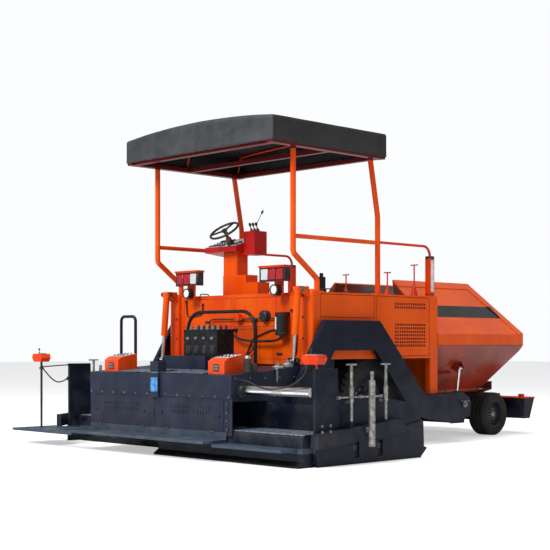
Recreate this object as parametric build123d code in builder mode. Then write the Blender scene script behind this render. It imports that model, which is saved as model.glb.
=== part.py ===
"""Wheeled asphalt paver with a telescopic screed, millimetres, +Y forward, +Z up.

The origin is on the ground under the middle of the machine.  X is to the
machine's right.  The tractor rests on four tyres, the screed rests on its soles.
"""
from build123d import *
import os
from math import cos, hypot, pi, radians, sin

os.makedirs("parts", exist_ok=True)

SIDES = (("left", -1), ("right", 1))

# running clearances
PIN_GAP = 0.3            # radial, between a pin and its bore
SIDE_GAP = 6             # between a moving piece and its neighbour
SEAT_GAP = 0.3           # between a curved piece and the face that it sits on

# tractor body
BODY_HALF = 1250         # outside of the side panels
BODY_TOP = 1823
DECK_Z = 1080            # top of the chassis deck
BODY_REAR = -1500
HOOD_REAR = -450         # the operator's platform ends here
BULKHEAD_REAR = 550
BULKHEAD_FRONT = 690
PANEL = 8                # sheet panels
PLATFORM_Z = 1500
TANK_HALF = 950          # inside faces of the two side tanks

# chassis
FRAME_HALF = 500         # outside of the long side plates
FRAME_PLATE = 20
FRAME_LOW = 300
FRAME_FRONT = 2560
TUNNEL_REAR = -1060
HOPPER_FLOOR = 540
DECK_PLATE = 12

# drive wheels and steered wheels
DRIVE_R, DRIVE_WIDTH, DRIVE_RIM = 560, 380, 320
DRIVE_Y, DRIVE_X = -400, 950
STEER_R, STEER_WIDTH, STEER_RIM = 290, 270, 180
STEER_Y, STEER_X = FRAME_FRONT - 270, 850
KINGPIN_X, KINGPIN_R = 620, 20
AXLE_TOP = 290

# hopper
HINGE_X, HINGE_Z = 760, 620
WING_OUT = 1250          # folded width at the fold line
WING_LOW, WING_HIGH = 1215, 1360
RIDGE_X, RIDGE_Z = 500, 2050
WING_REAR, WING_FRONT = BULKHEAD_FRONT + 16, FRAME_FRONT - 30
WING_FOOT = FRAME_FRONT - 370    # front end of the wing beside its hinge
RIDGE_FRONT = WING_FRONT - 240   # the tall face is cut back towards its ridge
WING_PLATE = 10

# canopy
POST_X, POST_R = BODY_HALF - 60, 32
REAR_FOOT_Y, REAR_POST_Y = -1413, -1794
FRONT_FOOT_Y, FRONT_HEAD_Y = -372, -509
POST_TOP = 3440
CANOPY_HALF, CANOPY_REAR, CANOPY_FRONT = POST_X + 100, -2206, -324
CANOPY_RIM, CANOPY_CORNER, CANOPY_CROWN = 3446, 3725, 3800
CANOPY_SKIN = 12

# screed and tow arms
TOW_Y, TOW_Z = 1090, 480
ARM_IN, ARM_OUT = BODY_HALF + 40, BODY_HALF + 100
SCREED_HALF = 1250
SCREED_REAR, SCREED_FRONT = -2775, -1650
SCREED_TOP = 905
HOUSING_LOW = 655        # lower edge of the upper housing
LIFT_X = 1150
LIFT_TOP_Y, LIFT_TOP_Z = -1680, 1850
LIFT_EYE_Y, LIFT_EYE_Z = -1750, 1045

# telescopic boxes: the right one runs behind the left one
BOX_END = 2270           # inner face of the end plates, boxes fully out
BOX_TOP = 330
TUBE_R = 50
RIGHT_BOX = dict(rear=-2745, front=-2250, tube_y=-2614, tube_z=748)
LEFT_BOX = dict(rear=-2205, front=-1725, tube_y=-2000, tube_z=783)
END_REAR, END_FRONT = -2594, -907
BOARD_TOP = 225


def block(x, y, z, mode=Mode.ADD):
    """A box between two X, two Y and two Z values."""
    with Locations(((x[0] + x[1]) / 2, (y[0] + y[1]) / 2, (z[0] + z[1]) / 2)):
        Box(x[1] - x[0], y[1] - y[0], z[1] - z[0], mode=mode)


def plate_x(points, x0, x1, mode=Mode.ADD):
    """A plate across X from an outline of (Y, Z) points."""
    with BuildSketch(Plane.YZ.offset(x0)) as outline:
        with BuildLine():
            Polyline(*points, close=True)
        make_face()
    extrude(outline.sketch, amount=x1 - x0, mode=mode)


def plate_y(points, y0, y1, mode=Mode.ADD):
    """A plate across Y from an outline of (X, Z) points."""
    with BuildSketch(Plane.XZ.offset(-y1)) as outline:
        with BuildLine():
            Polyline(*points, close=True)
        make_face()
    extrude(outline.sketch, amount=y1 - y0, mode=mode)


def rod_x(y, z, radius, x0, x1, mode=Mode.ADD):
    """A round bar along X."""
    with BuildSketch(Plane.YZ.offset(x0)) as disc:
        with Locations((y, z)):
            Circle(radius)
    extrude(disc.sketch, amount=x1 - x0, mode=mode)


def rod_y(x, z, radius, y0, y1, mode=Mode.ADD):
    """A round bar along Y."""
    with BuildSketch(Plane.XZ.offset(-y1)) as disc:
        with Locations((x, z)):
            Circle(radius)
    extrude(disc.sketch, amount=y1 - y0, mode=mode)


def rod_z(x, y, radius, z0, z1, mode=Mode.ADD):
    """A round bar along Z."""
    with BuildSketch(Plane.XY.offset(z0)) as disc:
        with Locations((x, y)):
            Circle(radius)
    extrude(disc.sketch, amount=z1 - z0, mode=mode)


def bar(start, end, radius, mode=Mode.ADD):
    """A round bar between two points."""
    line = Vector(*end) - Vector(*start)
    with BuildSketch(Plane(origin=start, z_dir=line)) as disc:
        Circle(radius)
    extrude(disc.sketch, amount=line.length, mode=mode)


def tube(points, bends, radius):
    """A round tube along a bent path."""
    with BuildLine() as path:
        FilletPolyline(*points, radius=bends)
    with BuildSketch(Plane(origin=path.line @ 0, z_dir=path.line % 0)) as disc:
        Circle(radius)
    sweep(disc.sketch, path=path.line)


def folded(points, thickness):
    """The closed outline of a bent sheet whose middle line goes through the points."""
    normals = []
    for (x0, y0), (x1, y1) in zip(points, points[1:]):
        length = hypot(x1 - x0, y1 - y0)
        normals.append((-(y1 - y0) / length, (x1 - x0) / length))
    sides = [[], []]
    for i, (x, y) in enumerate(points):
        a, b = normals[max(i - 1, 0)], normals[min(i, len(normals) - 1)]
        mitre = thickness / 2 / (1 + a[0] * b[0] + a[1] * b[1])
        for row, sign in zip(sides, (1, -1)):
            row.append((x + sign * mitre * (a[0] + b[0]), y + sign * mitre * (a[1] + b[1])))
    return sides[0] + sides[1][::-1]


def save(piece, name):
    piece.part.label = name
    export_step(piece.part, f"parts/{name}.step")


def save_pair(right_piece, name):
    """Write the right-hand piece and its mirror image."""
    with BuildPart() as left_piece:
        add(mirror(right_piece.part, about=Plane.YZ))
    save(right_piece, f"right_{name}")
    save(left_piece, f"left_{name}")


# ---------------------------------------------------------------- chassis
# Two long plates with the conveyor tunnel between them, a deck that carries the
# body, boxed arches over the drive wheels, and outriggers for the tow points.
ARCH_IN = DRIVE_X - DRIVE_WIDTH / 2 - 40
ARCH_Y = (DRIVE_Y - DRIVE_R - 40, DRIVE_Y + DRIVE_R + 40)
ARCH_TOP = 2 * DRIVE_R + 50
OUTRIGGER_Y = (TOW_Y - 70, TOW_Y + 150)
OUTRIGGER_Z = (235, 400)
WING_CYL_X, WING_CYL_Z, WING_CYL_Y = 1000, 290, 1340
EAR, EAR_HALF = 15, 42   # thickness of a clevis ear, half the gap between two ears
AUGER_Y, AUGER_Z, AUGER_R, AUGER_END = -1250, 380, 180, 1190
panel_in = BODY_HALF - PANEL

with BuildPart() as main_frame:
    side = [(BODY_REAR + 20, 640), (TUNNEL_REAR, 640), (TUNNEL_REAR, FRAME_LOW), (FRAME_FRONT, FRAME_LOW),
            (FRAME_FRONT, HOPPER_FLOOR), (BULKHEAD_REAR, HOPPER_FLOOR),
            (BULKHEAD_REAR, DECK_Z - DECK_PLATE), (BODY_REAR + 20, DECK_Z - DECK_PLATE)]
    for x in (-FRAME_HALF, FRAME_HALF - FRAME_PLATE):
        plate_x(side, x, x + FRAME_PLATE)
    inside = (FRAME_PLATE - FRAME_HALF, FRAME_HALF - FRAME_PLATE)
    block(inside, (TUNNEL_REAR, FRAME_FRONT), (FRAME_LOW, FRAME_LOW + DECK_PLATE))
    block(inside, (TUNNEL_REAR + 140, FRAME_FRONT - 200), (HOPPER_FLOOR - DECK_PLATE, HOPPER_FLOOR))
    block(inside, (BODY_REAR + 20, BULKHEAD_REAR), (720, 720 + DECK_PLATE))
    block((-FRAME_HALF, FRAME_HALF), (FRAME_FRONT, FRAME_FRONT + 20), (FRAME_LOW - 10, HOPPER_FLOOR))
    block((-panel_in, panel_in), (BODY_REAR + 20, BULKHEAD_REAR), (DECK_Z - DECK_PLATE, DECK_Z))
    for _, s in SIDES:
        x_in, x_out = sorted((s * ARCH_IN, s * panel_in))
        block((x_in, x_out), ARCH_Y, (DECK_Z - DECK_PLATE, DECK_Z), Mode.SUBTRACT)
        # the box over the drive wheel stands in the deck's cut-out
        wall = sorted((s * ARCH_IN, s * (ARCH_IN - DECK_PLATE)))
        block(wall, ARCH_Y, (DECK_Z, ARCH_TOP + DECK_PLATE))
        block((x_in, x_out), ARCH_Y, (ARCH_TOP, ARCH_TOP + DECK_PLATE))
        for y in (ARCH_Y[0], ARCH_Y[1] - DECK_PLATE):
            block((x_in, x_out), (y, y + DECK_PLATE), (DECK_Z - DECK_PLATE, ARCH_TOP))
        # hanger of the auger's outer bearing
        hanger = sorted((s * (AUGER_END + 15), s * (AUGER_END + 35)))
        plate_x([(AUGER_Y - 90, DECK_Z - DECK_PLATE), (AUGER_Y - 45, AUGER_Z), (AUGER_Y - 45, AUGER_Z - 50),
                 (AUGER_Y + 45, AUGER_Z - 50), (AUGER_Y + 45, AUGER_Z), (AUGER_Y + 90, DECK_Z - DECK_PLATE)],
                hanger[0], hanger[1])
        rod_x(AUGER_Y, AUGER_Z, 38 + PIN_GAP, hanger[0], hanger[1], Mode.SUBTRACT)
    # chain case between the two augers
    plate_x([(AUGER_Y - 110, 720), (AUGER_Y - 80, AUGER_Z - 60), (AUGER_Y + 80, AUGER_Z - 60),
             (AUGER_Y + 110, 720)], -45, 45)
save(main_frame, "main_frame")

# An outrigger carries the tow point's guide plate and pin.  The wing cylinder's
# clevis is bolted to its front face.
with BuildPart() as outriggers:
    for _, s in SIDES:
        arm = sorted((s * FRAME_HALF, s * (BODY_HALF - 20)))
        block(arm, OUTRIGGER_Y, OUTRIGGER_Z)
        guide = sorted((s * (BODY_HALF - 20), s * BODY_HALF))
        plate_x([(TOW_Y - 120, 230), (TOW_Y + 150, 230), (TOW_Y + 150, 560), (TOW_Y + 70, 640),
                 (TOW_Y - 70, 640), (TOW_Y - 120, 560)], guide[0], guide[1])
        pin = sorted((s * BODY_HALF, s * (ARM_OUT + 25)))
        rod_x(TOW_Y, TOW_Z, 40, pin[0], pin[1])
        foot = sorted((s * (WING_CYL_X - 60), s * (WING_CYL_X + 60)))
        block(foot, (OUTRIGGER_Y[1], WING_CYL_Y + EAR_HALF + EAR), (OUTRIGGER_Z[0], OUTRIGGER_Z[0] + EAR))
        for y in (WING_CYL_Y - EAR_HALF - EAR, WING_CYL_Y + EAR_HALF):
            block(foot, (y, y + EAR), (OUTRIGGER_Z[0] + EAR, WING_CYL_Z + 40))
        rod_y(s * WING_CYL_X, WING_CYL_Z, 18, WING_CYL_Y - EAR_HALF, WING_CYL_Y + EAR_HALF)
save(outriggers, "outriggers")

with BuildPart() as engine:
    block((-420, 420), (-350, 480), (DECK_Z, 1700))
    fillet(engine.edges().filter_by(Axis.Z), 40)
save(engine, "engine")

# ---------------------------------------------------------------- conveyor
# Two chain loops a side with flight bars on both runs, and the shafts they turn on.
CHAIN_R, CHAIN_Z = 80, 476
CHAIN_FRONT, CHAIN_REAR = FRAME_FRONT - 120, TUNNEL_REAR + 90
BAR_STEP = 170
with BuildPart() as conveyor:
    for x in (40, 430):
        for s in (1, -1):
            with BuildSketch(Plane.YZ.offset(s * x - 12)):
                with Locations(((CHAIN_FRONT + CHAIN_REAR) / 2, CHAIN_Z)):
                    SlotOverall(CHAIN_FRONT - CHAIN_REAR + 2 * CHAIN_R + 20, 2 * CHAIN_R + 20)
                    SlotOverall(CHAIN_FRONT - CHAIN_REAR + 2 * CHAIN_R - 20, 2 * CHAIN_R - 20,
                                mode=Mode.SUBTRACT)
            extrude(amount=24)
    count = int((CHAIN_FRONT - CHAIN_REAR) / BAR_STEP)
    for z in (CHAIN_Z + CHAIN_R, CHAIN_Z - CHAIN_R):
        for s in (1, -1):
            with Locations((s * 235, (CHAIN_FRONT + CHAIN_REAR) / 2, z)):
                with GridLocations(1, BAR_STEP, 1, count):
                    Box(460, 36, 22)
    for y in (CHAIN_FRONT, CHAIN_REAR):
        rod_x(y, CHAIN_Z, 30, -FRAME_HALF + FRAME_PLATE, FRAME_HALF - FRAME_PLATE)
        for x in (40, 430):
            for s in (1, -1):
                rod_x(y, CHAIN_Z, CHAIN_R - 10, s * x - 10, s * x + 10)
save(conveyor, "conveyor")

# ---------------------------------------------------------------- axles and wheels
with BuildPart() as rear_axle:
    for _, s in SIDES:
        x0, x1 = sorted((s * FRAME_HALF, s * (DRIVE_X - DRIVE_WIDTH / 2 - 30)))
        rod_x(DRIVE_Y, DRIVE_R, 160, x0, x1)
        x0, x1 = sorted((s * (DRIVE_X - DRIVE_WIDTH / 2 - 30), s * (DRIVE_X - 20)))
        rod_x(DRIVE_Y, DRIVE_R, 110, x0, x1)
save(rear_axle, "rear_axle")

with BuildPart() as front_axle:
    block((-KINGPIN_X + 40, KINGPIN_X - 40), (STEER_Y - 55, STEER_Y + 55), (AXLE_TOP - 90, AXLE_TOP - 10))
    for _, s in SIDES:
        pad = sorted((s * (FRAME_HALF - 70), s * FRAME_HALF))
        block(pad, (STEER_Y - 90, STEER_Y + 90), (AXLE_TOP - 30, FRAME_LOW))
        rod_z(s * KINGPIN_X, STEER_Y, 48, AXLE_TOP - 90, AXLE_TOP - 10)
        rod_z(s * KINGPIN_X, STEER_Y, KINGPIN_R + PIN_GAP, AXLE_TOP - 90, AXLE_TOP - 10, Mode.SUBTRACT)
save(front_axle, "front_axle")

with BuildPart() as right_knuckle:
    low, high = AXLE_TOP - 90 - SIDE_GAP, AXLE_TOP - 10 + SIDE_GAP
    rod_z(KINGPIN_X, STEER_Y, 45, low - 25, low)
    rod_z(KINGPIN_X, STEER_Y, 45, high, high + 25)
    block((KINGPIN_X, KINGPIN_X + 90), (STEER_Y - 45, STEER_Y + 45), (low - 25, low))
    block((KINGPIN_X, KINGPIN_X + 90), (STEER_Y - 45, STEER_Y + 45), (high, high + 25))
    block((KINGPIN_X + 60, KINGPIN_X + 90), (STEER_Y - 45, STEER_Y + 45), (low - 25, high + 25))
    rod_z(KINGPIN_X, STEER_Y, KINGPIN_R, low, high)
    rod_x(STEER_Y, STEER_R, 32, KINGPIN_X + 60, STEER_X + 30)
save_pair(right_knuckle, "knuckle")

WHEELS = (  # name, centre x, y, radius, width, rim radius, shaft radius, shaft end
    ("rear", DRIVE_X, DRIVE_Y, DRIVE_R, DRIVE_WIDTH, DRIVE_RIM, 110, DRIVE_X - 20),
    ("front", STEER_X, STEER_Y, STEER_R, STEER_WIDTH, STEER_RIM, 32, STEER_X + 30))
for name, cx, cy, radius, width, rim_r, shaft_r, shaft_end in WHEELS:
    inner, outer = cx - width / 2, cx + width / 2
    with BuildPart() as tyre:
        with BuildSketch(Plane.XY):
            with BuildLine():
                Polyline((inner + 25, rim_r), (inner, rim_r + 30), (inner, radius - 45), (inner + 45, radius),
                         (outer - 45, radius), (outer, radius - 45), (outer, rim_r + 30),
                         (outer - 25, rim_r), close=True)
            make_face()
        revolve(axis=Axis.X)
        tyre.part = tyre.part.moved(Location((0, cy, radius)))
    save_pair(tyre, f"{name}_tyre")
    with BuildPart() as rim:
        with BuildSketch(Plane.XY):
            with BuildLine():
                Polyline((inner + 20, rim_r - 20), (inner + 20, rim_r), (outer - 20, rim_r),
                         (outer - 20, rim_r - 20), (cx + 55, rim_r - 40),
                         (shaft_end + 30, shaft_r + 60), (shaft_end + 30, 0),
                         (shaft_end + SIDE_GAP, 0), (shaft_end + SIDE_GAP, shaft_r + PIN_GAP),
                         (shaft_end - 60, shaft_r + PIN_GAP), (shaft_end - 60, shaft_r + 40),
                         (cx + 10, rim_r - 55), close=True)
            make_face()
        revolve(axis=Axis.X)
        rim.part = rim.part.moved(Location((0, cy, radius)))
    save_pair(rim, f"{name}_rim")

# ---------------------------------------------------------------- hopper
# The bulkhead, the fixed floor and apron, and the hinge pins of the two wings.
LUG_R, HINGE_R, LUG = 34, 20, 30
FLOOR_EDGE = HINGE_X - LUG_R - 4
LUGS_Y = (BULKHEAD_FRONT + 20, (BULKHEAD_FRONT + WING_FOOT - 20) / 2, WING_FOOT - 40)
with BuildPart() as hopper_frame:
    wall = (BULKHEAD_FRONT - PANEL, BULKHEAD_FRONT)
    block((-POST_X + 20, POST_X - 20), wall, (HOPPER_FLOOR, BODY_TOP))
    block((-FRAME_HALF, FRAME_HALF), wall, (HOPPER_FLOOR, 760), Mode.SUBTRACT)
    for _, s in SIDES:
        column = sorted((s * (POST_X - 20), s * BODY_HALF))
        block(column, (BULKHEAD_REAR, BULKHEAD_FRONT), (620, BODY_TOP))
        hollow = sorted((s * (POST_X - 12), s * (BODY_HALF - 8)))
        block(hollow, (BULKHEAD_REAR + 8, BULKHEAD_FRONT - 8), (612, BODY_TOP - 8), Mode.SUBTRACT)
        edge = [(s * FRAME_HALF, HOPPER_FLOOR), (s * FLOOR_EDGE, HINGE_Z - 12), (s * FLOOR_EDGE, HINGE_Z),
                (s * (FRAME_HALF - 20), HOPPER_FLOOR + 12), (s * (FRAME_HALF - 20), HOPPER_FLOOR)]
        plate_y(edge, BULKHEAD_FRONT, FRAME_FRONT)
        for y in LUGS_Y:
            lug = [(s * FRAME_HALF, HOPPER_FLOOR), (s * (HINGE_X - 20), HINGE_Z - LUG_R + 6),
                   (s * HINGE_X, HINGE_Z - LUG_R), (s * HINGE_X, HINGE_Z),
                   (s * FLOOR_EDGE, HINGE_Z)]
            plate_y(lug, y, y + LUG)
            rod_y(s * HINGE_X, HINGE_Z, LUG_R, y, y + LUG)
        rod_y(s * HINGE_X, HINGE_Z, HINGE_R, LUGS_Y[0], LUGS_Y[-1] + LUG)
    block((-FLOOR_EDGE, FLOOR_EDGE), (FRAME_FRONT - 12, FRAME_FRONT), (HINGE_Z - 8, 720))
    block((-FRAME_HALF, FRAME_HALF), (FRAME_FRONT - 12, FRAME_FRONT), (HOPPER_FLOOR + 10, HINGE_Z))
save(hopper_frame, "hopper_frame")

# A wing is folded plate: floor, low side wall and the tall face that meets the
# ridge, with a gable at the rear, a raised border and a rib under the floor.
floor_dx, floor_dz = WING_OUT - HINGE_X, WING_LOW - HINGE_Z
floor_len = hypot(floor_dx, floor_dz)
floor_u = (floor_dx / floor_len, floor_dz / floor_len)
floor_n = (floor_u[1], -floor_u[0])
foot_in = (HINGE_X + 26 * floor_u[0], HINGE_Z + 26 * floor_u[1])
SLEEVES_Y = ((LUGS_Y[0] + LUG + 3, LUGS_Y[1] - 3), (LUGS_Y[1] + LUG + 3, LUGS_Y[2] - 3))
EYE_ALONG, EYE_BELOW = 445, 66
BORDER, BORDER_RISE = 120, 10
RIB_ALONG = 330
wing_eye = (HINGE_X + EYE_ALONG * floor_u[0] + EYE_BELOW * floor_n[0],
            HINGE_Z + EYE_ALONG * floor_u[1] + EYE_BELOW * floor_n[1])
with BuildPart() as right_wing:
    corners = [foot_in, (WING_OUT, WING_LOW), (WING_OUT, WING_HIGH), (RIDGE_X, RIDGE_Z)]
    plate_y(folded(corners, WING_PLATE), WING_REAR, WING_FRONT)
    plate_y(corners, WING_REAR, WING_REAR + WING_PLATE)
    # the front edge leans back from the fold line to the hinge
    nose = [(WING_FOOT + 40, HINGE_Z - 200), (WING_FOOT + 40, HINGE_Z + 40), (WING_FRONT, WING_LOW - 70),
            (WING_FRONT + 50, WING_LOW - 70), (WING_FRONT + 50, HINGE_Z - 200)]
    plate_x(nose, HINGE_X - 100, WING_OUT + 50, Mode.SUBTRACT)
    # raised border along the ridge and the front edge of the tall face
    face = Vector(RIDGE_X - WING_OUT, 0, RIDGE_Z - WING_HIGH)
    face_len, up = face.length, face.normalized()
    skin = Plane(origin=(WING_OUT, WING_FRONT, WING_HIGH), x_dir=(0, 1, 0), z_dir=Vector(0, 1, 0).cross(up))
    lean, long = WING_FRONT - RIDGE_FRONT, WING_FRONT - WING_REAR
    with BuildSketch(skin.offset(WING_PLATE / 2)) as border:
        with BuildLine():
            Polyline((0, 0), (-BORDER, 0), (-lean - BORDER, face_len - BORDER), (-long, face_len - BORDER),
                     (-long, face_len), (-lean, face_len), close=True)
        make_face()
    extrude(border.sketch, amount=BORDER_RISE)
    # the tall face is cut back from its front corner to the ridge
    with BuildSketch(Plane.XY.offset(WING_LOW + 60)) as slope:
        with BuildLine():
            Polyline((WING_OUT + 40, WING_FRONT), (WING_OUT, WING_FRONT), (RIDGE_X, RIDGE_FRONT),
                     (RIDGE_X - 60, RIDGE_FRONT), (RIDGE_X - 60, WING_FRONT + 40),
                     (WING_OUT + 40, WING_FRONT + 40), close=True)
        make_face()
    extrude(slope.sketch, amount=RIDGE_Z - WING_LOW, mode=Mode.SUBTRACT)
    # rib under the floor, behind the cylinder
    rib = [(HINGE_X + RIB_ALONG * floor_u[0] + n * floor_n[0] + a * floor_u[0],
            HINGE_Z + RIB_ALONG * floor_u[1] + n * floor_n[1] + a * floor_u[1])
           for n, a in ((4, 0), (40, 0), (40, 8), (4, 8))]
    plate_y(rib, WING_REAR, WING_CYL_Y - EAR_HALF - EAR)
    # sleeves round the hinge pin
    for y0, y1 in SLEEVES_Y:
        rod_y(HINGE_X, HINGE_Z, 32, y0, y1)
    rod_y(HINGE_X, HINGE_Z, HINGE_R + PIN_GAP, WING_REAR - 50, WING_FRONT, Mode.SUBTRACT)
    for y in LUGS_Y:
        rod_y(HINGE_X, HINGE_Z, LUG_R + 5, y - 3, y + LUG + 3, Mode.SUBTRACT)
    # ears for the cylinder
    for y in (WING_CYL_Y - EAR_HALF - EAR, WING_CYL_Y + EAR_HALF):
        ear = [(wing_eye[0] + a * floor_u[0] + n * floor_n[0], wing_eye[1] + a * floor_u[1] + n * floor_n[1])
               for a, n in ((-60, -62), (60, -62), (30, 30), (-30, 30))]
        plate_y(ear, y, y + EAR)
save_pair(right_wing, "hopper_wing")

# Wing cylinder: the barrel swings in the outrigger's ears, the rod's eye in the wing's.
def cylinder(bottom, eye, y, barrel_r, rod_r, barrel_len, width):
    """Barrel and rod in the XZ plane, from the barrel's eye to the rod's eye."""
    run = Vector(eye[0] - bottom[0], 0, eye[1] - bottom[1])
    unit = run.normalized()
    start = Vector(bottom[0], y, bottom[1])
    with BuildPart() as barrel:
        rod_y(bottom[0], bottom[1], 34, y - width / 2, y + width / 2)
        bar(start + unit * 20, start + unit * barrel_len, barrel_r)
        rod_y(bottom[0], bottom[1], 18 + PIN_GAP, y - width, y + width, Mode.SUBTRACT)
        bar(start + unit * 45, start + unit * (barrel_len + 10), rod_r + PIN_GAP, Mode.SUBTRACT)
    with BuildPart() as rod:
        bar(start + unit * (barrel_len - 15), start + run - unit * 15, rod_r)
        rod_y(eye[0], eye[1], 25, y - width / 2, y + width / 2)
    return barrel, rod


wing_barrel, wing_rod = cylinder((WING_CYL_X, WING_CYL_Z), wing_eye, WING_CYL_Y, 36, 18, 330, 70)
save_pair(wing_barrel, "wing_barrel")
save_pair(wing_rod, "wing_rod")

# ---------------------------------------------------------------- push beam
# A tapered box under a wide top plate, carried on three arms from the frame's nose.
BEAM_HALF = 1150
BEAM_REAR = FRAME_FRONT + 100    # the top plate reaches back over the steered tyres
BEAM_BACK = FRAME_FRONT + 170    # the box stays clear of them
BEAM_FRONT = FRAME_FRONT + 418
BEAM_LOW, BEAM_TOP = 215, 505
BEAM_SLOPE = 120
BEAM_PLATE = 12
ROLLER_R, ROLLER_Y, ROLLER_Z = 58, BEAM_FRONT + 64, 390
ROLLER_ENDS = (190, 860)
LASH_R = 22
STOP = (690, 60)         # X and half length of the stop blocks on the top plate
# Its plate, box, arms and lugs are welded in life and separate solids here, so that no
# collision hull spans the space in which the front tyres steer.
with BuildPart() as push_beam:
    block((-BEAM_HALF, BEAM_HALF), (BEAM_REAR, BEAM_FRONT), (BEAM_TOP - BEAM_PLATE, BEAM_TOP))
    top = BEAM_TOP - BEAM_PLATE - SEAT_GAP
    plate_x([(BEAM_BACK, BEAM_LOW), (BEAM_FRONT - BEAM_SLOPE, BEAM_LOW), (BEAM_FRONT - 10, top),
             (BEAM_BACK, top)], 10 - BEAM_HALF, BEAM_HALF - 10)
    plate_x([(BEAM_BACK + 12, BEAM_LOW + 12), (BEAM_FRONT - BEAM_SLOPE - 8, BEAM_LOW + 12),
             (BEAM_FRONT - 27, top), (BEAM_BACK + 12, top)], 22 - BEAM_HALF, BEAM_HALF - 22, Mode.SUBTRACT)
    for _, s in SIDES:
        for x in (s * STOP[0] - STOP[1] / 2, s * (BEAM_HALF - 60) - STOP[1] / 2):
            block((x, x + STOP[1]), (BEAM_REAR + 40, BEAM_REAR + 100), (BEAM_TOP, BEAM_TOP + 45))
        # lashing lug
        lug = sorted((s * 330, s * 350))
        plate_x([(BEAM_BACK + 20, BEAM_LOW - SEAT_GAP), (BEAM_BACK + 30, BEAM_LOW - 75),
                 (BEAM_BACK + 90, BEAM_LOW - 75), (BEAM_BACK + 100, BEAM_LOW - SEAT_GAP)], lug[0], lug[1])
        rod_x(BEAM_BACK + 60, BEAM_LOW - 38, LASH_R, lug[0], lug[1], Mode.SUBTRACT)
        for x in (ROLLER_ENDS[0] - 22, ROLLER_ENDS[1] + 2):
            cheek = sorted((s * x, s * (x + 20)))
            front = BEAM_FRONT - BEAM_SLOPE
            plate_x([(front, ROLLER_Z - 60), (ROLLER_Y + 30, ROLLER_Z - 30), (ROLLER_Y + 30, ROLLER_Z + 30),
                     (front + 80, ROLLER_Z + 80)], cheek[0], cheek[1])
        shaft = sorted((s * (ROLLER_ENDS[0] - 22), s * (ROLLER_ENDS[1] + 22)))
        rod_x(ROLLER_Y, ROLLER_Z, 18, shaft[0], shaft[1])
    for x in (60 - FRAME_HALF, 0, FRAME_HALF - 60):
        block((x - 60, x + 60), (FRAME_FRONT + 20, BEAM_BACK - SEAT_GAP), (FRAME_LOW, BEAM_TOP - 40))
save(push_beam, "push_beam")

with BuildPart() as push_rollers:
    for s in (1, -1):
        x0, x1 = sorted((s * (ROLLER_ENDS[0] + 4), s * (ROLLER_ENDS[1] - 4)))
        rod_x(ROLLER_Y, ROLLER_Z, ROLLER_R, x0, x1)
        rod_x(ROLLER_Y, ROLLER_Z, 18 + PIN_GAP, x0, x1, Mode.SUBTRACT)
save(push_rollers, "push_rollers")

# ---------------------------------------------------------------- tractor body
GRILLE_Y = (HOOD_REAR + 320, BULKHEAD_REAR - 90)
GRILLES_Z = ((1180, 1500), (1640, 1750))
HOLE, HOLE_PITCH = 28, 42
with BuildPart() as side_panels:
    for _, s in SIDES:
        x0, x1 = sorted((s * panel_in, s * BODY_HALF))
        block((x0, x1), (BODY_REAR + 60, BULKHEAD_REAR), (DECK_Z - 20, BODY_TOP))
        # square holes in two fields beside the engine
        for low, high in GRILLES_Z:
            columns = int((GRILLE_Y[1] - GRILLE_Y[0]) / HOLE_PITCH)
            rows = int((high - low) / HOLE_PITCH)
            with Locations(((x0 + x1) / 2, sum(GRILLE_Y) / 2, (low + high) / 2)):
                with GridLocations(1, HOLE_PITCH, 1, columns):
                    with Locations(*[(0, 0, (row - (rows - 1) / 2) * HOLE_PITCH) for row in range(rows)]):
                        Box(PANEL, HOLE, HOLE, mode=Mode.SUBTRACT)
save(side_panels, "side_panels")

COLUMN_IN, COLUMN_REAR, COLUMN_LOW = LIFT_X - 70, -1555, 1000
COLUMN_ROUND = 34
with BuildPart() as rear_panel:
    block((-COLUMN_IN, COLUMN_IN), (BODY_REAR, BODY_REAR + 10), (COLUMN_LOW, BODY_TOP))
    for _, s in SIDES:
        column = sorted((s * COLUMN_IN, s * BODY_HALF))
        with BuildPart(mode=Mode.PRIVATE) as post:
            block(column, (COLUMN_REAR, BODY_REAR + 20), (COLUMN_LOW, BODY_TOP + 30))
            fillet(post.edges().filter_by(Axis.Z).group_by(Axis.Y)[0] + post.edges().group_by(Axis.Z)[-1],
                   COLUMN_ROUND)
        add(post.part)
        block(column, (BODY_REAR + 20, BODY_REAR + 60), (DECK_Z, BODY_TOP))
        # ears that carry the lift cylinder
        for x in (LIFT_X - EAR_HALF - EAR, LIFT_X + EAR_HALF):
            ear = sorted((s * x, s * (x + EAR)))
            plate_x([(COLUMN_REAR, LIFT_TOP_Z - 90), (LIFT_TOP_Y - 25, LIFT_TOP_Z - 35),
                     (LIFT_TOP_Y - 25, LIFT_TOP_Z + 30), (COLUMN_REAR, LIFT_TOP_Z + 30)], ear[0], ear[1])
        pin = sorted((s * (LIFT_X - EAR_HALF), s * (LIFT_X + EAR_HALF)))
        rod_x(LIFT_TOP_Y, LIFT_TOP_Z, 18, pin[0], pin[1])
    # suction filter and port
    block((740, 850), (BODY_REAR - 30, BODY_REAR), (1560, 1600))
    rod_z(795, BODY_REAR - 90, 70, 1331, 1596)
    block((760, 830), (BODY_REAR - 60, BODY_REAR), (1575, 1596))
    rod_y(470, 1560, 65, BODY_REAR - 70, BODY_REAR)
save(rear_panel, "rear_panel")

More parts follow.
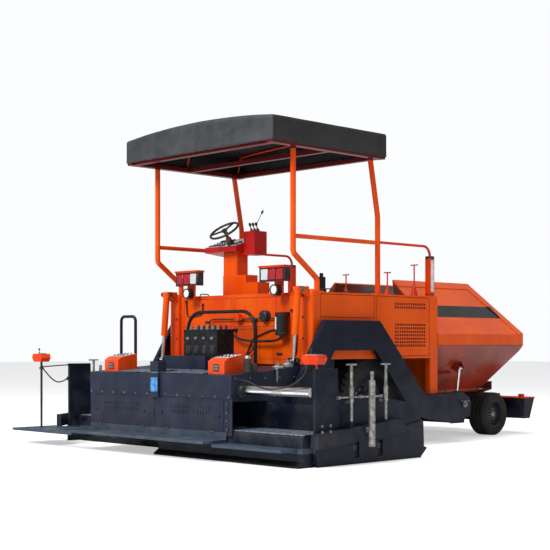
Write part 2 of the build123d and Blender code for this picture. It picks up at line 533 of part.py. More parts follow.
with BuildPart() as operator_platform:
    block((-TANK_HALF, TANK_HALF), (BODY_REAR + 20, HOOD_REAR), (PLATFORM_Z - 8, PLATFORM_Z))
    block((-TANK_HALF, TANK_HALF), (HOOD_REAR - 8, HOOD_REAR), (PLATFORM_Z, BODY_TOP - 8))
    for _, s in SIDES:
        wall = sorted((s * TANK_HALF, s * (TANK_HALF + 8)))
        block(wall, (BODY_REAR + 70, HOOD_REAR), (ARCH_TOP + 60, BODY_TOP - 8))
        top = sorted((s * TANK_HALF, s * panel_in))
        block(top, (BODY_REAR + 70, HOOD_REAR), (BODY_TOP - 8, BODY_TOP))
        block(top, (BODY_REAR + 70, HOOD_REAR), (ARCH_TOP + 60, ARCH_TOP + 68))
save(operator_platform, "operator_platform")

with BuildPart() as engine_hood:
    block((-panel_in, panel_in), (HOOD_REAR, BULKHEAD_REAR), (BODY_TOP - 8, BODY_TOP))
    block((-760, 760), (HOOD_REAR + 120, BULKHEAD_REAR - 110), (BODY_TOP, BODY_TOP + 26))
save(engine_hood, "engine_hood")

# ---------------------------------------------------------------- operator's place
CONSOLE_Y = -1050
WHEEL_AT = (-500, -1300, 2630)
WHEEL_TILT, WHEEL_R, COLUMN_R = 35, 200, 20
tilt_axis = Vector(0, -sin(radians(WHEEL_TILT)), cos(radians(WHEEL_TILT)))
with BuildPart() as console:
    block((-690, -270), (CONSOLE_Y - 100, CONSOLE_Y + 100), (PLATFORM_Z, 2085))
    block((-690, -440), (CONSOLE_Y - 90, CONSOLE_Y + 90), (2085, 2400))
    block((-270, -60), (CONSOLE_Y - 100, CONSOLE_Y + 100), (BODY_TOP - 60, 1990))
    block((-350, -160), (CONSOLE_Y - 60, CONSOLE_Y + 150), (2330, 2620))
    plate_x([(CONSOLE_Y - 190, 2375), (CONSOLE_Y + 150, 2340), (CONSOLE_Y + 150, 2560),
             (CONSOLE_Y - 190, 2440)], -930, -350)
    # three levers on the pod
    for x in (-310, -255, -200):
        bar((x, CONSOLE_Y + 40, 2610), (x, CONSOLE_Y + 10, 2700), 7)
    # the steering column's boss, with the bore that the column turns in
    column_foot = Vector(*WHEEL_AT) - tilt_axis * 235
    bar(column_foot, Vector(*WHEEL_AT) - tilt_axis * 105, COLUMN_R + 12)
    bar(column_foot + tilt_axis * 20, Vector(*WHEEL_AT), COLUMN_R + PIN_GAP, Mode.SUBTRACT)
save(console, "console")

wheel_plane = Plane(origin=WHEEL_AT, x_dir=(1, 0, 0), z_dir=tilt_axis)
with BuildPart() as steering_wheel:
    with BuildSketch(Plane(origin=WHEEL_AT, x_dir=tilt_axis, z_dir=(1, 0, 0))) as grip:
        with Locations((0, WHEEL_R - 14)):
            Circle(14)
    revolve(grip.sketch, axis=Axis(WHEEL_AT, tilt_axis))
    with BuildSketch(wheel_plane) as spokes:
        Circle(38)
        for turn in (90, 210, 330):
            with Locations(Location((0, 0, 0), turn)):
                with Locations((WHEEL_R / 2 - 7, 0)):
                    Rectangle(WHEEL_R - 14, 22)
    extrude(spokes.sketch, amount=8, both=True)
    bar(Vector(*WHEEL_AT) - tilt_axis * 190, Vector(*WHEEL_AT), COLUMN_R)
save(steering_wheel, "steering_wheel")

SEAT_X, SEAT_REAR = -705, -940
SEAT_HALF, SEAT_TOP, SEAT_BACK = 225, 1950, 2150
with BuildPart() as operator_seat:
    rear = SEAT_REAR + 40
    block((SEAT_X - 150, SEAT_X + 150), (rear, rear + 340), (PLATFORM_Z, SEAT_TOP - 110))
    block((SEAT_X - SEAT_HALF, SEAT_X + SEAT_HALF), (rear - 20, rear + 400), (SEAT_TOP - 110, SEAT_TOP))
    plate_x([(rear + 60, SEAT_TOP), (rear - 20, SEAT_TOP - 20), (SEAT_REAR, SEAT_BACK),
             (SEAT_REAR + 70, SEAT_BACK)], SEAT_X - SEAT_HALF + 35, SEAT_X + SEAT_HALF - 35)
    fillet(operator_seat.edges().group_by(Axis.Z)[-1], 20)
save(operator_seat, "operator_seat")

# ---------------------------------------------------------------- canopy
with BuildPart() as canopy_frame:
    for _, s in SIDES:
        x = s * POST_X
        tube([(x, REAR_FOOT_Y, BODY_TOP + 12), (x, REAR_FOOT_Y, 1974), (x, REAR_POST_Y, 2250),
              (x, REAR_POST_Y, POST_TOP)], 70, POST_R)
        tube([(x, FRONT_FOOT_Y, BODY_TOP + 12), (x, FRONT_FOOT_Y, 2742), (x, FRONT_HEAD_Y, POST_TOP)],
             300, POST_R)
        for y in (REAR_FOOT_Y, FRONT_FOOT_Y):
            block((x - 50, x + 50), (y - 60, y + 60), (BODY_TOP, BODY_TOP + 12))
        bar((x, REAR_POST_Y, 2435), (x, FRONT_FOOT_Y, 2435), 25)
        rail = sorted((x, s * (CANOPY_HALF - CANOPY_SKIN)))
        block(rail, (CANOPY_REAR + CANOPY_SKIN, CANOPY_FRONT - CANOPY_SKIN), (POST_TOP - 20, POST_TOP + 30))
    for y in (CANOPY_REAR + 40, -1265, CANOPY_FRONT - 100):
        block((-POST_X, POST_X), (y, y + 60), (POST_TOP - 20, POST_TOP + 30))
save(canopy_frame, "canopy_frame")

with BuildPart() as canopy_cover:
    for drop, mode in ((0, Mode.ADD), (CANOPY_SKIN, Mode.SUBTRACT)):
        with BuildSketch(Plane.XZ.offset(-CANOPY_FRONT + drop)) as skin:
            with BuildLine():
                half, corner, crown = CANOPY_HALF - drop, CANOPY_CORNER - drop, CANOPY_CROWN - drop
                Polyline((-half, corner), (-half, CANOPY_RIM), (half, CANOPY_RIM), (half, corner))
                ThreePointArc((half, corner), (0, crown), (-half, corner))
            make_face()
        extrude(skin.sketch, amount=CANOPY_FRONT - CANOPY_REAR - 2 * drop, mode=mode)
save(canopy_cover, "canopy_cover")

# ---------------------------------------------------------------- handrails, lamps, small gear
RAIL_Z, RAIL_POST_Y = 2440, 590
with BuildPart() as handrails:
    for _, s in SIDES:
        x = s * (POST_X + 18)
        block((x - 40, x + 40), (RAIL_POST_Y - 40, RAIL_POST_Y + 40), (BODY_TOP, 2310))
        tube([(x, FRONT_FOOT_Y + POST_R + SEAT_GAP, RAIL_Z), (x, RAIL_POST_Y, RAIL_Z),
              (x, RAIL_POST_Y, 2310)], 120, 16)
save(handrails, "handrails")

LAMP_X, LAMP_Z, LAMP_DEPTH = (560, 940), (1950, 2105), 105
with BuildPart() as rear_lamps:
    for _, s in SIDES:
        guard = sorted((s * (LAMP_X[0] - 20), s * (LAMP_X[1] + 20)))
        rear = BODY_REAR - 90 - LAMP_DEPTH
        block(guard, (rear - 15, BODY_REAR - 90), (LAMP_Z[1], LAMP_Z[1] + 25))
        box = sorted((s * LAMP_X[0], s * LAMP_X[1]))
        block(box, (rear, BODY_REAR - 96), LAMP_Z)
        lens = (LAMP_X[1] - LAMP_X[0] - 40) / 3
        for i in range(3):
            x = LAMP_X[0] + 10 + i * (lens + 10)
            pocket = sorted((s * x, s * (x + lens)))
            block(pocket, (rear, rear + 6), (LAMP_Z[0] + 12, LAMP_Z[1] - 12), Mode.SUBTRACT)
        bracket = sorted((s * 700, s * 840))
        block(bracket, (BODY_REAR - 100, BODY_REAR), (1780, 1800))
        block(bracket, (BODY_REAR - 106, BODY_REAR - 90), (1780, LAMP_Z[0]))
        rod_y(s * 770, 1850, 60, BODY_REAR - 190, BODY_REAR - 106)
        rod_y(s * 770, 1850, 52, BODY_REAR - 190, BODY_REAR - 182, Mode.SUBTRACT)
save(rear_lamps, "rear_lamps")

with BuildPart() as exhaust_stack:
    rod_z(1100, -1245, 48, BODY_TOP, 2000)
    rod_z(1100, -1245, 22, 2000, 2045)
save(exhaust_stack, "exhaust_stack")

with BuildPart() as gate_cranks:
    for x, y, top in ((-110, 495, 2140), (600, 495, 2140), (1100, 420, 2210)):
        with Locations((x, y, BODY_TOP + 70)):
            Cone(50, 14, 140)
        bar((x, y, BODY_TOP + 130), (x, y, top), 9)
        bar((x - 55, y, top), (x + 55, y, top), 8)
save(gate_cranks, "gate_cranks")

# ---------------------------------------------------------------- augers
# Each shaft carries a spiral of plate that pushes the mix outwards.
FLIGHT_START, FLIGHT_PITCH, FLIGHT, SHAFT_R = 90, 300, 12, 38
TURN_STEPS, TURNS = 12, 3.5


def flight_point(step, radius):
    """A point of the spiral, a number of steps along it and a radius out."""
    turn = 2 * pi * step / TURN_STEPS
    return Vector(FLIGHT_START + FLIGHT_PITCH * step / TURN_STEPS, AUGER_Y + radius * cos(turn),
                  AUGER_Z + radius * sin(turn))


with BuildPart() as right_auger:
    rod_x(AUGER_Y, AUGER_Z, SHAFT_R, 45 + 2, AUGER_END + 35)
    for step in range(int(TURNS * TURN_STEPS)):
        root, rim = (flight_point(step, SHAFT_R - 8), flight_point(step, AUGER_R))
        next_root, next_rim = (flight_point(step + 1, SHAFT_R - 8), flight_point(step + 1, AUGER_R))
        for corners in ((root, rim, next_rim), (root, next_rim, next_root)):
            facet = Face(Wire.make_polygon(corners, close=True))
            add(Solid.extrude(facet, Vector(FLIGHT, 0, 0)))
save_pair(right_auger, "auger")

# ---------------------------------------------------------------- screed lift cylinders
lift_run = Vector(0, LIFT_EYE_Y - LIFT_TOP_Y, LIFT_EYE_Z - LIFT_TOP_Z)
lift_unit = lift_run.normalized()
lift_top = Vector(LIFT_X, LIFT_TOP_Y, LIFT_TOP_Z)
LIFT_BARREL, LIFT_R, LIFT_ROD = 515, 40, 20
with BuildPart() as right_lift_barrel:
    rod_x(LIFT_TOP_Y, LIFT_TOP_Z, 34, LIFT_X - 36, LIFT_X + 36)
    bar(lift_top + lift_unit * 20, lift_top + lift_unit * LIFT_BARREL, LIFT_R)
    rod_x(LIFT_TOP_Y, LIFT_TOP_Z, 18 + PIN_GAP, LIFT_X - 50, LIFT_X + 50, Mode.SUBTRACT)
    bar(lift_top + lift_unit * 60, lift_top + lift_unit * (LIFT_BARREL + 10), LIFT_ROD + PIN_GAP,
        Mode.SUBTRACT)
save_pair(right_lift_barrel, "lift_barrel")
with BuildPart() as right_lift_rod:
    bar(lift_top + lift_unit * (LIFT_BARREL - 80), lift_top + lift_run - lift_unit * 15, LIFT_ROD)
    rod_x(LIFT_EYE_Y, LIFT_EYE_Z, 28, LIFT_X - 36, LIFT_X + 36)
save_pair(right_lift_rod, "lift_rod")

# ---------------------------------------------------------------- tow arms
ARM_FOOT = (-1880, -1600)
SENSOR_Y, SENSOR_Z = -935, 1330          # bolt holes for a levelling sensor's bracket
SENSOR_PITCH, SENSOR_R = 100, 8.5
with BuildPart() as tow_arms:
    for _, s in SIDES:
        x0, x1 = sorted((s * ARM_IN, s * ARM_OUT))
        plate_x([(ARM_FOOT[0], 420), (ARM_FOOT[0], 800), (-1441, 1504), (-508, 1504), (330, 610),
                 (TOW_Y, TOW_Z + 140), (TOW_Y + 120, TOW_Z + 80), (TOW_Y + 160, TOW_Z),
                 (TOW_Y + 130, TOW_Z - 160), (844, 253), (398, 314), (100, 400), (-585, 1160), (-1286, 1160),
                 (-1560, 760), (ARM_FOOT[1], 420)], x0, x1)
        rod_x(TOW_Y, TOW_Z, 40 + PIN_GAP, x0, x1, Mode.SUBTRACT)
        for y in (SENSOR_Y - SENSOR_PITCH / 2, SENSOR_Y + SENSOR_PITCH / 2):
            for z in (SENSOR_Z - SENSOR_PITCH / 2, SENSOR_Z + SENSOR_PITCH / 2):
                rod_x(y, z, SENSOR_R, x0, x1, Mode.SUBTRACT)
save(tow_arms, "tow_arms")

# ---------------------------------------------------------------- screed
SCREED_PLATE = 14
MID_WALL = (RIGHT_BOX["front"] + SIDE_GAP, LEFT_BOX["rear"] - SIDE_GAP)
DECK_RISE = 80
DOOR_LOW, SILL = 300, 264
DOOR_SET, DOOR = 10, 6   # the lower wall stands back from the housing, the doors on it
DOOR_FACE = SCREED_REAR + DOOR_SET
DOORS = ((-1240, -38), (25, 1123))
LATCHES = ((-1104, -218), (99, 1048))
SLOT, SLOT_PITCH = (18, 40), 46


def deck_z(y):
    """Height of the sloping deck."""
    return SCREED_TOP + DECK_RISE * (y - SCREED_REAR) / (SCREED_FRONT - SCREED_REAR)


CROWN = 70               # half width of the crown column
LOW_BOX = (-2440, -2230)
with BuildPart() as screed_frame:
    shell = [(DOOR_FACE, SILL), (DOOR_FACE, HOUSING_LOW), (SCREED_REAR, HOUSING_LOW),
             (SCREED_REAR, SCREED_TOP), (SCREED_FRONT, SCREED_TOP + DECK_RISE), (SCREED_FRONT, SILL)]
    plate_x(shell, -SCREED_HALF, SCREED_HALF)
    inside = DOOR_FACE + SCREED_PLATE
    plate_x([(inside, SILL - 10), (inside, SCREED_TOP - SCREED_PLATE),
             (SCREED_FRONT - SCREED_PLATE, SCREED_TOP + DECK_RISE - SCREED_PLATE),
             (SCREED_FRONT - SCREED_PLATE, SILL - 10)], SCREED_PLATE - SCREED_HALF,
            SCREED_HALF - SCREED_PLATE, Mode.SUBTRACT)
    block((-SCREED_HALF + SCREED_PLATE, SCREED_HALF - SCREED_PLATE), MID_WALL, (SILL, SCREED_TOP))
    # tunnels for the two boxes and bores for their guide tubes
    block((SCREED_HALF - 20, SCREED_HALF + 5), (inside, MID_WALL[0]), (SILL - 10, 625),
          Mode.SUBTRACT)
    block((-SCREED_HALF - 5, -SCREED_HALF + 20), (MID_WALL[1], SCREED_FRONT - SCREED_PLATE), (SILL - 10, 380),
          Mode.SUBTRACT)
    for s, box in ((1, RIGHT_BOX), (-1, LEFT_BOX)):
        x0, x1 = sorted((s * (SCREED_HALF - 60), s * SCREED_HALF))
        rod_x(box["tube_y"], box["tube_z"], TUBE_R + 25, x0, x1)
        rod_x(box["tube_y"], box["tube_z"], TUBE_R + PIN_GAP, x0 - 5, x1 + 5, Mode.SUBTRACT)
        spacer = sorted((s * SCREED_HALF, s * ARM_IN))
        block(spacer, (ARM_FOOT[0], -1700), (430, 800))
        for x in (LIFT_X - EAR_HALF - EAR, LIFT_X + EAR_HALF):
            ear = sorted((s * x, s * (x + EAR)))
            foot, head = deck_z(LIFT_EYE_Y) - 10, LIFT_EYE_Z + 35
            plate_x([(LIFT_EYE_Y - 60, foot), (LIFT_EYE_Y - 30, head), (LIFT_EYE_Y + 30, head),
                     (LIFT_EYE_Y + 60, foot)], ear[0], ear[1])
    # two doors with their air slots and latches
    for (x0, x1), latches in zip(DOORS, LATCHES):
        block((x0, x1), (DOOR_FACE - DOOR, DOOR_FACE), (DOOR_LOW, HOUSING_LOW - 15))
        for x in latches:
            with BuildSketch(Plane.XZ.offset(-(DOOR_FACE - DOOR))) as latch:
                with Locations((x, 475)):
                    SlotOverall(44, 26, rotation=90)
            extrude(latch.sketch, amount=4)
        with Locations(((x0 + x1) / 2, DOOR_FACE - DOOR / 2, 520)):
            with GridLocations(SLOT_PITCH, 1, 15, 1):
                with Locations((0, 0, -26), (0, 0, 26)):
                    Box(SLOT[0], DOOR, SLOT[1], mode=Mode.SUBTRACT)
    block((DOORS[1][1] + 30, DOORS[1][1] + 75), (DOOR_FACE - DOOR, DOOR_FACE), (DOOR_LOW, HOUSING_LOW))
    # crown column over the housing's rear edge, and the low box on the deck beside it
    block((-CROWN, CROWN), (SCREED_REAR - 30, SCREED_REAR), (640, 1040))
    block((-CROWN, CROWN), (SCREED_REAR - 30, SCREED_REAR + 90), (SCREED_TOP, 1040))
    block((-270, 450), (LOW_BOX[0], LOW_BOX[1]), (SCREED_TOP, 1100))
    # plates on the deck
    for x0, x1 in ((-780, -CROWN - 20), (CROWN + 20, 780)):
        plate_x([(y, deck_z(y) + lift) for y, lift in ((SCREED_REAR + 25, -4), (SCREED_REAR + 25, 12),
                                                       (LOW_BOX[0] - 10, 12), (LOW_BOX[0] - 10, -4))], x0, x1)
save(screed_frame, "screed_frame")

with BuildPart() as walkboard:
    block((-1240, 1170), (-3100, DOOR_FACE), (BOARD_TOP - 28, BOARD_TOP))
    block((-1240, 1170), (DOOR_FACE - 10, DOOR_FACE), (BOARD_TOP, DOOR_LOW))
save(walkboard, "walkboard")

with BuildPart() as screed_controls:
    for s in (1, -1):
        x0, x1 = sorted((s * 800, s * 1060))
        y0, y1 = -2700, -2420
        plate_x([(y0, deck_z(y0) + SEAT_GAP), (y0, 1050), (y0 + 60, 1085), (y1, 1120),
                 (y1, deck_z(y1) + SEAT_GAP)], x0, x1)
    y0, y1 = LOW_BOX[1] + 10, LOW_BOX[1] + 270
    plate_x([(y0, deck_z(y0) + SEAT_GAP), (y0, 1400), (y1, 1400), (y1, deck_z(y1) + SEAT_GAP)], -180, 400)
save(screed_controls, "screed_controls")

with BuildPart() as guard_hoops:
    for x0, x1, y, top, bend, r in ((-1200, -920, -2350, 1564, 60, 18), (-540, 640, -1850, 1610, 220, 20)):
        foot = deck_z(y + r) + SEAT_GAP
        tube([(x0, y, foot), (x0, y, top), (x1, y, top), (x1, y, foot)], bend, r)
save(guard_hoops, "guard_hoops")

# ---------------------------------------------------------------- telescopic boxes
END_PLATE = 30
LEFT_SHIFT = 230         # the left end plate and gate stand this much further forward


def end_outline(shift):
    """Side view of an end plate."""
    rear, front = END_REAR + shift, END_FRONT + shift
    return [(rear, 30), (rear, 985), (rear + 330, 985), (rear + 345, 695), (rear + 1060, 665),
            (front - 200, 600), (front, 400), (front, 60), (front - 60, 30)]


def deck_slots(s, rear, front):
    """A row of shallow slots in the top of a box, outside the screed."""
    for i in range(7):
        x = s * (SCREED_HALF + 120 + 135 * i)
        block((x - 11, x + 11), ((rear + front) / 2 - 130, (rear + front) / 2 + 130), (BOX_TOP - 6, BOX_TOP),
              Mode.SUBTRACT)


with BuildPart() as right_extension:
    rear, front = RIGHT_BOX["rear"], RIGHT_BOX["front"]
    plate_x([(rear - 65, 0), (rear - 65, 20), (rear, 60), (rear, BOX_TOP - 30), (rear + 40, BOX_TOP),
             (front - 12, BOX_TOP), (front - 12, 600), (front, 600), (front, 40), (front - 40, 0)],
            0, BOX_END)
    deck_slots(1, rear + 60, front - 60)
    plate_x(end_outline(0), BOX_END, BOX_END + END_PLATE)
    block((1170, 2200), (-2980, rear), (BOARD_TOP - 65, BOARD_TOP - 35))
save(right_extension, "right_extension")

with BuildPart() as left_extension:
    rear, front = LEFT_BOX["rear"], LEFT_BOX["front"]
    plate_x([(rear, 0), (rear, BOX_TOP - 30), (rear + 40, BOX_TOP), (front, BOX_TOP), (front, 40),
             (front - 40, 0)], -BOX_END, 0)
    deck_slots(-1, rear + 60, front - 60)
    plate_x(end_outline(LEFT_SHIFT), -BOX_END - END_PLATE, -BOX_END)
    z = (BOARD_TOP - 65, BOARD_TOP - 35)
    block((-2515, -1240), (-3050, -2830), z)
    block((-2515, -1780), (-2830, -2430), z)
    block((-BOX_END - END_PLATE, -BOX_END), (-2430, END_REAR + LEFT_SHIFT), z)
save(left_extension, "left_extension")

for side, s, box in (("right", 1, RIGHT_BOX), ("left", -1, LEFT_BOX)):
    with BuildPart() as guide_tube:
        x0, x1 = sorted((s * 250, s * BOX_END))
        rod_x(box["tube_y"], box["tube_z"], TUBE_R, x0, x1)
    save(guide_tube, f"{side}_guide_tube")

# End gates: a gate plate with an upturned toe, a heavy bar, two jack screws and a cylinder.
GATE_X = BOX_END + END_PLATE
JACKS_Y = (-2140, -1605)
for side, s, shift in (("right", 1, 0), ("left", -1, LEFT_SHIFT)):
    with BuildPart() as end_gate:
        x0, x1 = sorted((s * GATE_X, s * (GATE_X + 25)))
        plate_x([(-2588 + shift, 0), (-2588 + shift, 200), (-1400 + shift, 320), (-919 + shift, 403),
                 (-907 + shift, 120), (-864 + shift, 105), (-864 + shift, 90), (-967 + shift, 0)], x0, x1)
        for y in (-2010 + shift, -1640 + shift):
            block((x0, x1), (y - 45, y + 45), (60, 235), Mode.SUBTRACT)
            rod_x(y, 235, 12, x0, x1)
        x0, x1 = sorted((s * (GATE_X + 25), s * (GATE_X + 125)))
        plate_x([(-2683 + shift, 190), (-2683 + shift, 335), (-1341 + shift, 445), (-1341 + shift, 310)],
                x0, x1)
        for y in JACKS_Y:
            top = 335 + (y + 2683) * 110 / 1342
            jack_x = s * (GATE_X + 75)
            rod_z(jack_x, y + shift, 16, top - 5, 1020)
            rod_z(jack_x, y + shift, 24, 640, 800)
            bar((jack_x, y + shift - 75, 1025), (jack_x, y + shift + 75, 1025), 9)
            arm = sorted((s * GATE_X, s * (GATE_X + 75)))
            block(arm, (y + shift - 20, y + shift + 20), (630, 655))
        rod_z(s * (GATE_X + 125 + 61), -1950 + shift, 34, 186, 862)
        rod_z(s * (GATE_X + 125 + 61), -1950 + shift, 20, 862, 954)
        arm = sorted((s * (GATE_X + 120), s * (GATE_X + 186)))
        block(arm, (-1975 + shift, -1925 + shift), (330, 380))
    save(end_gate, f"{side}_end_gate")

# Hoses and cables.  The suction hose hangs from the filter, above the reach of the lifted
# screed, and goes into the rear wall.
with BuildPart() as rear_hoses:
    filter_y = BODY_REAR - 90
    tube([(795, filter_y, 1331 - SEAT_GAP), (795, filter_y, 1268), (300, filter_y, 1262),
          (60, filter_y - 20, 1300), (-60, filter_y - 55, 1400), (-60, BODY_REAR - SEAT_GAP, 1400)], 60, 14)
save(rear_hoses, "rear_hoses")
with BuildPart() as left_cable:
    tube([(-2300, -2742.6, 930), (-2230, -2650, 765), (-2240, -2480, 745),
          (-2285, END_REAR + LEFT_SHIFT - 5, 813)], 66, 8)
save(left_cable, "left_cable")
with BuildPart() as right_cable:
    tube([(2200, -2612, 1029.5), (2200, -2612, 920), (1990, -2700, 780), (1650, -2715, 770),
          (1400, -2700, 860), (SCREED_HALF + 0.5, -2700, 860)], 66, 8)
save(right_cable, "right_cable")

# Remote controls on posts at the outer ends.
with BuildPart() as right_remote:
    rod_z(BOX_END + 15, -2560, 12, 985, 1030)
    plate_y([(2141, 1085), (2175, 1030), (2343, 1030), (2377, 1085), (2360, 1125), (2158, 1125)],
            -2630, -2500)
save(right_remote, "right_remote")
with BuildPart() as left_remote:
    rod_z(-2300, -2764, 14, BOARD_TOP - 35, 1010)
    plate_y([(-2410, 1060), (-2370, 1010), (-2230, 1010), (-2190, 1060), (-2210, 1110), (-2390, 1110)],
            -2830, -2700)
save(left_remote, "left_remote")
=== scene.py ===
"""A wheeled asphalt paver: its finishes and its fine detail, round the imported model."""
import math
import random
import bmesh
import bpy
from mathutils import Matrix, Vector


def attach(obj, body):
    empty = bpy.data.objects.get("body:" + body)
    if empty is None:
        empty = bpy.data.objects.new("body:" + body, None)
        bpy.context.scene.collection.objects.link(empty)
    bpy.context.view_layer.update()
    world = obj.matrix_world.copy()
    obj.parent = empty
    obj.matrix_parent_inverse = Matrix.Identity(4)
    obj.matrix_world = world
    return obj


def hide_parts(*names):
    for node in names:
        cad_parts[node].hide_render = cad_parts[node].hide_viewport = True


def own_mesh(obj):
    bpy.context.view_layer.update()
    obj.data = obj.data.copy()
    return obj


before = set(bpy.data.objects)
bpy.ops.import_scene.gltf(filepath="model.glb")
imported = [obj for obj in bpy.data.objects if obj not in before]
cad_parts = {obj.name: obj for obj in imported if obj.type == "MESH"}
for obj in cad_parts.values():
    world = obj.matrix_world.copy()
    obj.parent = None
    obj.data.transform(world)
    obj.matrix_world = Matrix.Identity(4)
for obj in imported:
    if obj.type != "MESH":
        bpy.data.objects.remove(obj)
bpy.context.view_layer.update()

# The camera stands behind the machine's right rear corner, low and far away, so the
# uprights stay upright and the long sides hardly converge.
camera_data = bpy.data.cameras.new("camera")
camera_data.lens, camera_data.sensor_width = 80.9, 36
camera_data.shift_y = 0.124
camera_data.clip_end = 200
camera = bpy.data.objects.new("camera", camera_data)
camera.location = (10.853, -11.49, 1.243)
camera.rotation_euler = (math.radians(90), 0, math.radians(45.74))
bpy.context.scene.collection.objects.link(camera)
bpy.context.scene.camera = camera


# Leads of the two hand controls and the suction hose: black rubber, pushed into
# glands. Each leaves its housing straight, hangs, and goes into the machine again.
class Socket:
    """A shader socket that Python's operators work on."""

    def __init__(self, tree, out):
        self.tree, self.out = tree, out

    def node(self, kind, settings=(), **inputs):
        """A node of that kind, its settings first, then the values or links of its sockets."""
        made = self.tree.nodes.new(kind)
        for key, value in dict(settings).items():
            setattr(made, key, value)
        for key, value in inputs.items():
            numbered = key[0] == "i" and key[1:].isdigit()
            socket = made.inputs[int(key[1:])] if numbered else made.inputs[key.replace("_", " ")]
            if isinstance(value, Socket):
                self.tree.links.new(value.out, socket)
            else:
                socket.default_value = value
        return made

    def maths(self, operation, first, second=0.0):
        """One Math node on numbers."""
        made = self.node("ShaderNodeMath", {"operation": operation}, i0=first, i1=second)
        return Socket(self.tree, made.outputs[0])

    def __add__(self, other):
        return self.maths("ADD", self, other)

    def __radd__(self, other):
        return self.maths("ADD", other, self)

    def __sub__(self, other):
        return self.maths("SUBTRACT", self, other)

    def __rsub__(self, other):
        return self.maths("SUBTRACT", other, self)

    def __mul__(self, other):
        return self.maths("MULTIPLY", self, other)

    def __rmul__(self, other):
        return self.maths("MULTIPLY", other, self)

    def __gt__(self, other):
        return self.maths("GREATER_THAN", self, other)

    def __lt__(self, other):
        return self.maths("LESS_THAN", self, other)

    def __abs__(self):
        return self.maths("ABSOLUTE", self)

    def __or__(self, other):
        return self.maths("MAXIMUM", self, other)

    def along(self, axis):
        """One number of a vector: 0 for X, 1 for Y, 2 for Z."""
        return Socket(self.tree, self.node("ShaderNodeSeparateXYZ", i0=self).outputs[axis])

    def ramp(self, low, high, to_low=0.0, to_high=1.0):
        """Maps low..high to to_low..to_high and holds the ends."""
        made = self.node("ShaderNodeMapRange", {"clamp": True}, i0=self, i1=low, i2=high, i3=to_low,
                         i4=to_high)
        return Socket(self.tree, made.outputs[0])

    def mix(self, low, high):
        """The colour low where this is 0 and high where it is 1."""
        made = self.node("ShaderNodeMix", {"data_type": "RGBA"}, i0=self)
        for index, colour in ((6, low), (7, high)):
            if isinstance(colour, Socket):
                self.tree.links.new(colour.out, made.inputs[index])
            else:
                made.inputs[index].default_value = (*colour, 1)
        return Socket(self.tree, made.outputs[2])

    def noise(self, scale, detail=4.0, stretch=(1, 1, 1)):
        """Cloudy noise over places in metres, about 0.3 to 0.7."""
        scaled = self.node("ShaderNodeVectorMath", {"operation": "MULTIPLY"}, i0=self, i1=stretch)
        made = self.node("ShaderNodeTexNoise", {}, Vector=Socket(self.tree, scaled.outputs[0]), Scale=scale,
                         Detail=detail)
        return Socket(self.tree, made.outputs[0])

    def wave(self, scale, direction):
        """Even bands across one axis, 0 to 1."""
        made = self.node("ShaderNodeTexWave", {"bands_direction": direction}, Vector=self, Scale=scale)
        return Socket(self.tree, made.outputs["Fac"])


def finish(name, roughness=0.5, metallic=0.0, **fixed):
    """A new material, its shader, and places on the piece in metres."""
    material = bpy.data.materials.new(name)
    material.use_nodes = True
    tree = material.node_tree
    shader = tree.nodes["Principled BSDF"]
    shader.inputs["Roughness"].default_value = roughness
    shader.inputs["Metallic"].default_value = metallic
    for key, value in fixed.items():
        shader.inputs[key.replace("_", " ")].default_value = value
    return material, shader, Socket(tree, tree.nodes.new("ShaderNodeTexCoord").outputs["Object"])


def feed(shader, place, colour=None, roughness=None, metallic=None, coat=None, bump=None):
    """Links what varies over the surface; a bump is (height, strength, depth in metres)."""
    for name, value in (("Base Color", colour), ("Roughness", roughness), ("Metallic", metallic),
                        ("Coat Weight", coat)):
        if value is not None:
            place.tree.links.new(value.out, shader.inputs[name])
    if bump is not None:
        made = place.node("ShaderNodeBump", {}, Height=bump[0], Strength=bump[1], Distance=bump[2])
        place.tree.links.new(made.outputs[0], shader.inputs["Normal"])


lead_rubber, shader, place = finish("lead rubber", Specular_IOR_Level=0.35)
cloud, grain = place.noise(14), place.noise(900)
feed(shader, place, cloud.ramp(0.35, 0.7).mix((0.012, 0.012, 0.013), (0.03, 0.029, 0.028)),
     roughness=cloud.ramp(0.3, 0.7, 0.42, 0.68), bump=(grain, 0.25, 0.0004))


def lead(name, body, node, route, diameter, squashed=None):
    """A lead along one smooth line, whose control points are the route's; where squashed, a joint's name and
    share, is given, the lead is made a mesh of its own, and the name and share are not used."""
    curve = bpy.data.curves.new(name, "CURVE")
    curve.dimensions, curve.resolution_u, curve.use_fill_caps = "3D", 12, True
    spline = curve.splines.new("NURBS")
    spline.points.add(len(route) - 1)
    for point, at in zip(spline.points, route):
        point.co = (*at, 1)
    spline.order_u = 3
    spline.use_endpoint_u = True
    made = bpy.data.objects.new(name, curve)
    bpy.context.scene.collection.objects.link(made)
    path = None
    if squashed:
        path = [tuple(vertex.co) for vertex in bpy.data.meshes.new_from_object(made).vertices]
    curve.bevel_depth, curve.bevel_resolution = diameter / 2, 4
    curve.materials.append(lead_rubber)
    if squashed:
        tube = bpy.data.meshes.new_from_object(made)
        bpy.data.objects.remove(made)
        made = bpy.data.objects.new(name, tube)
        bpy.context.scene.collection.objects.link(made)
    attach(made, body)
    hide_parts(node)
    if squashed:
        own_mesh(made)


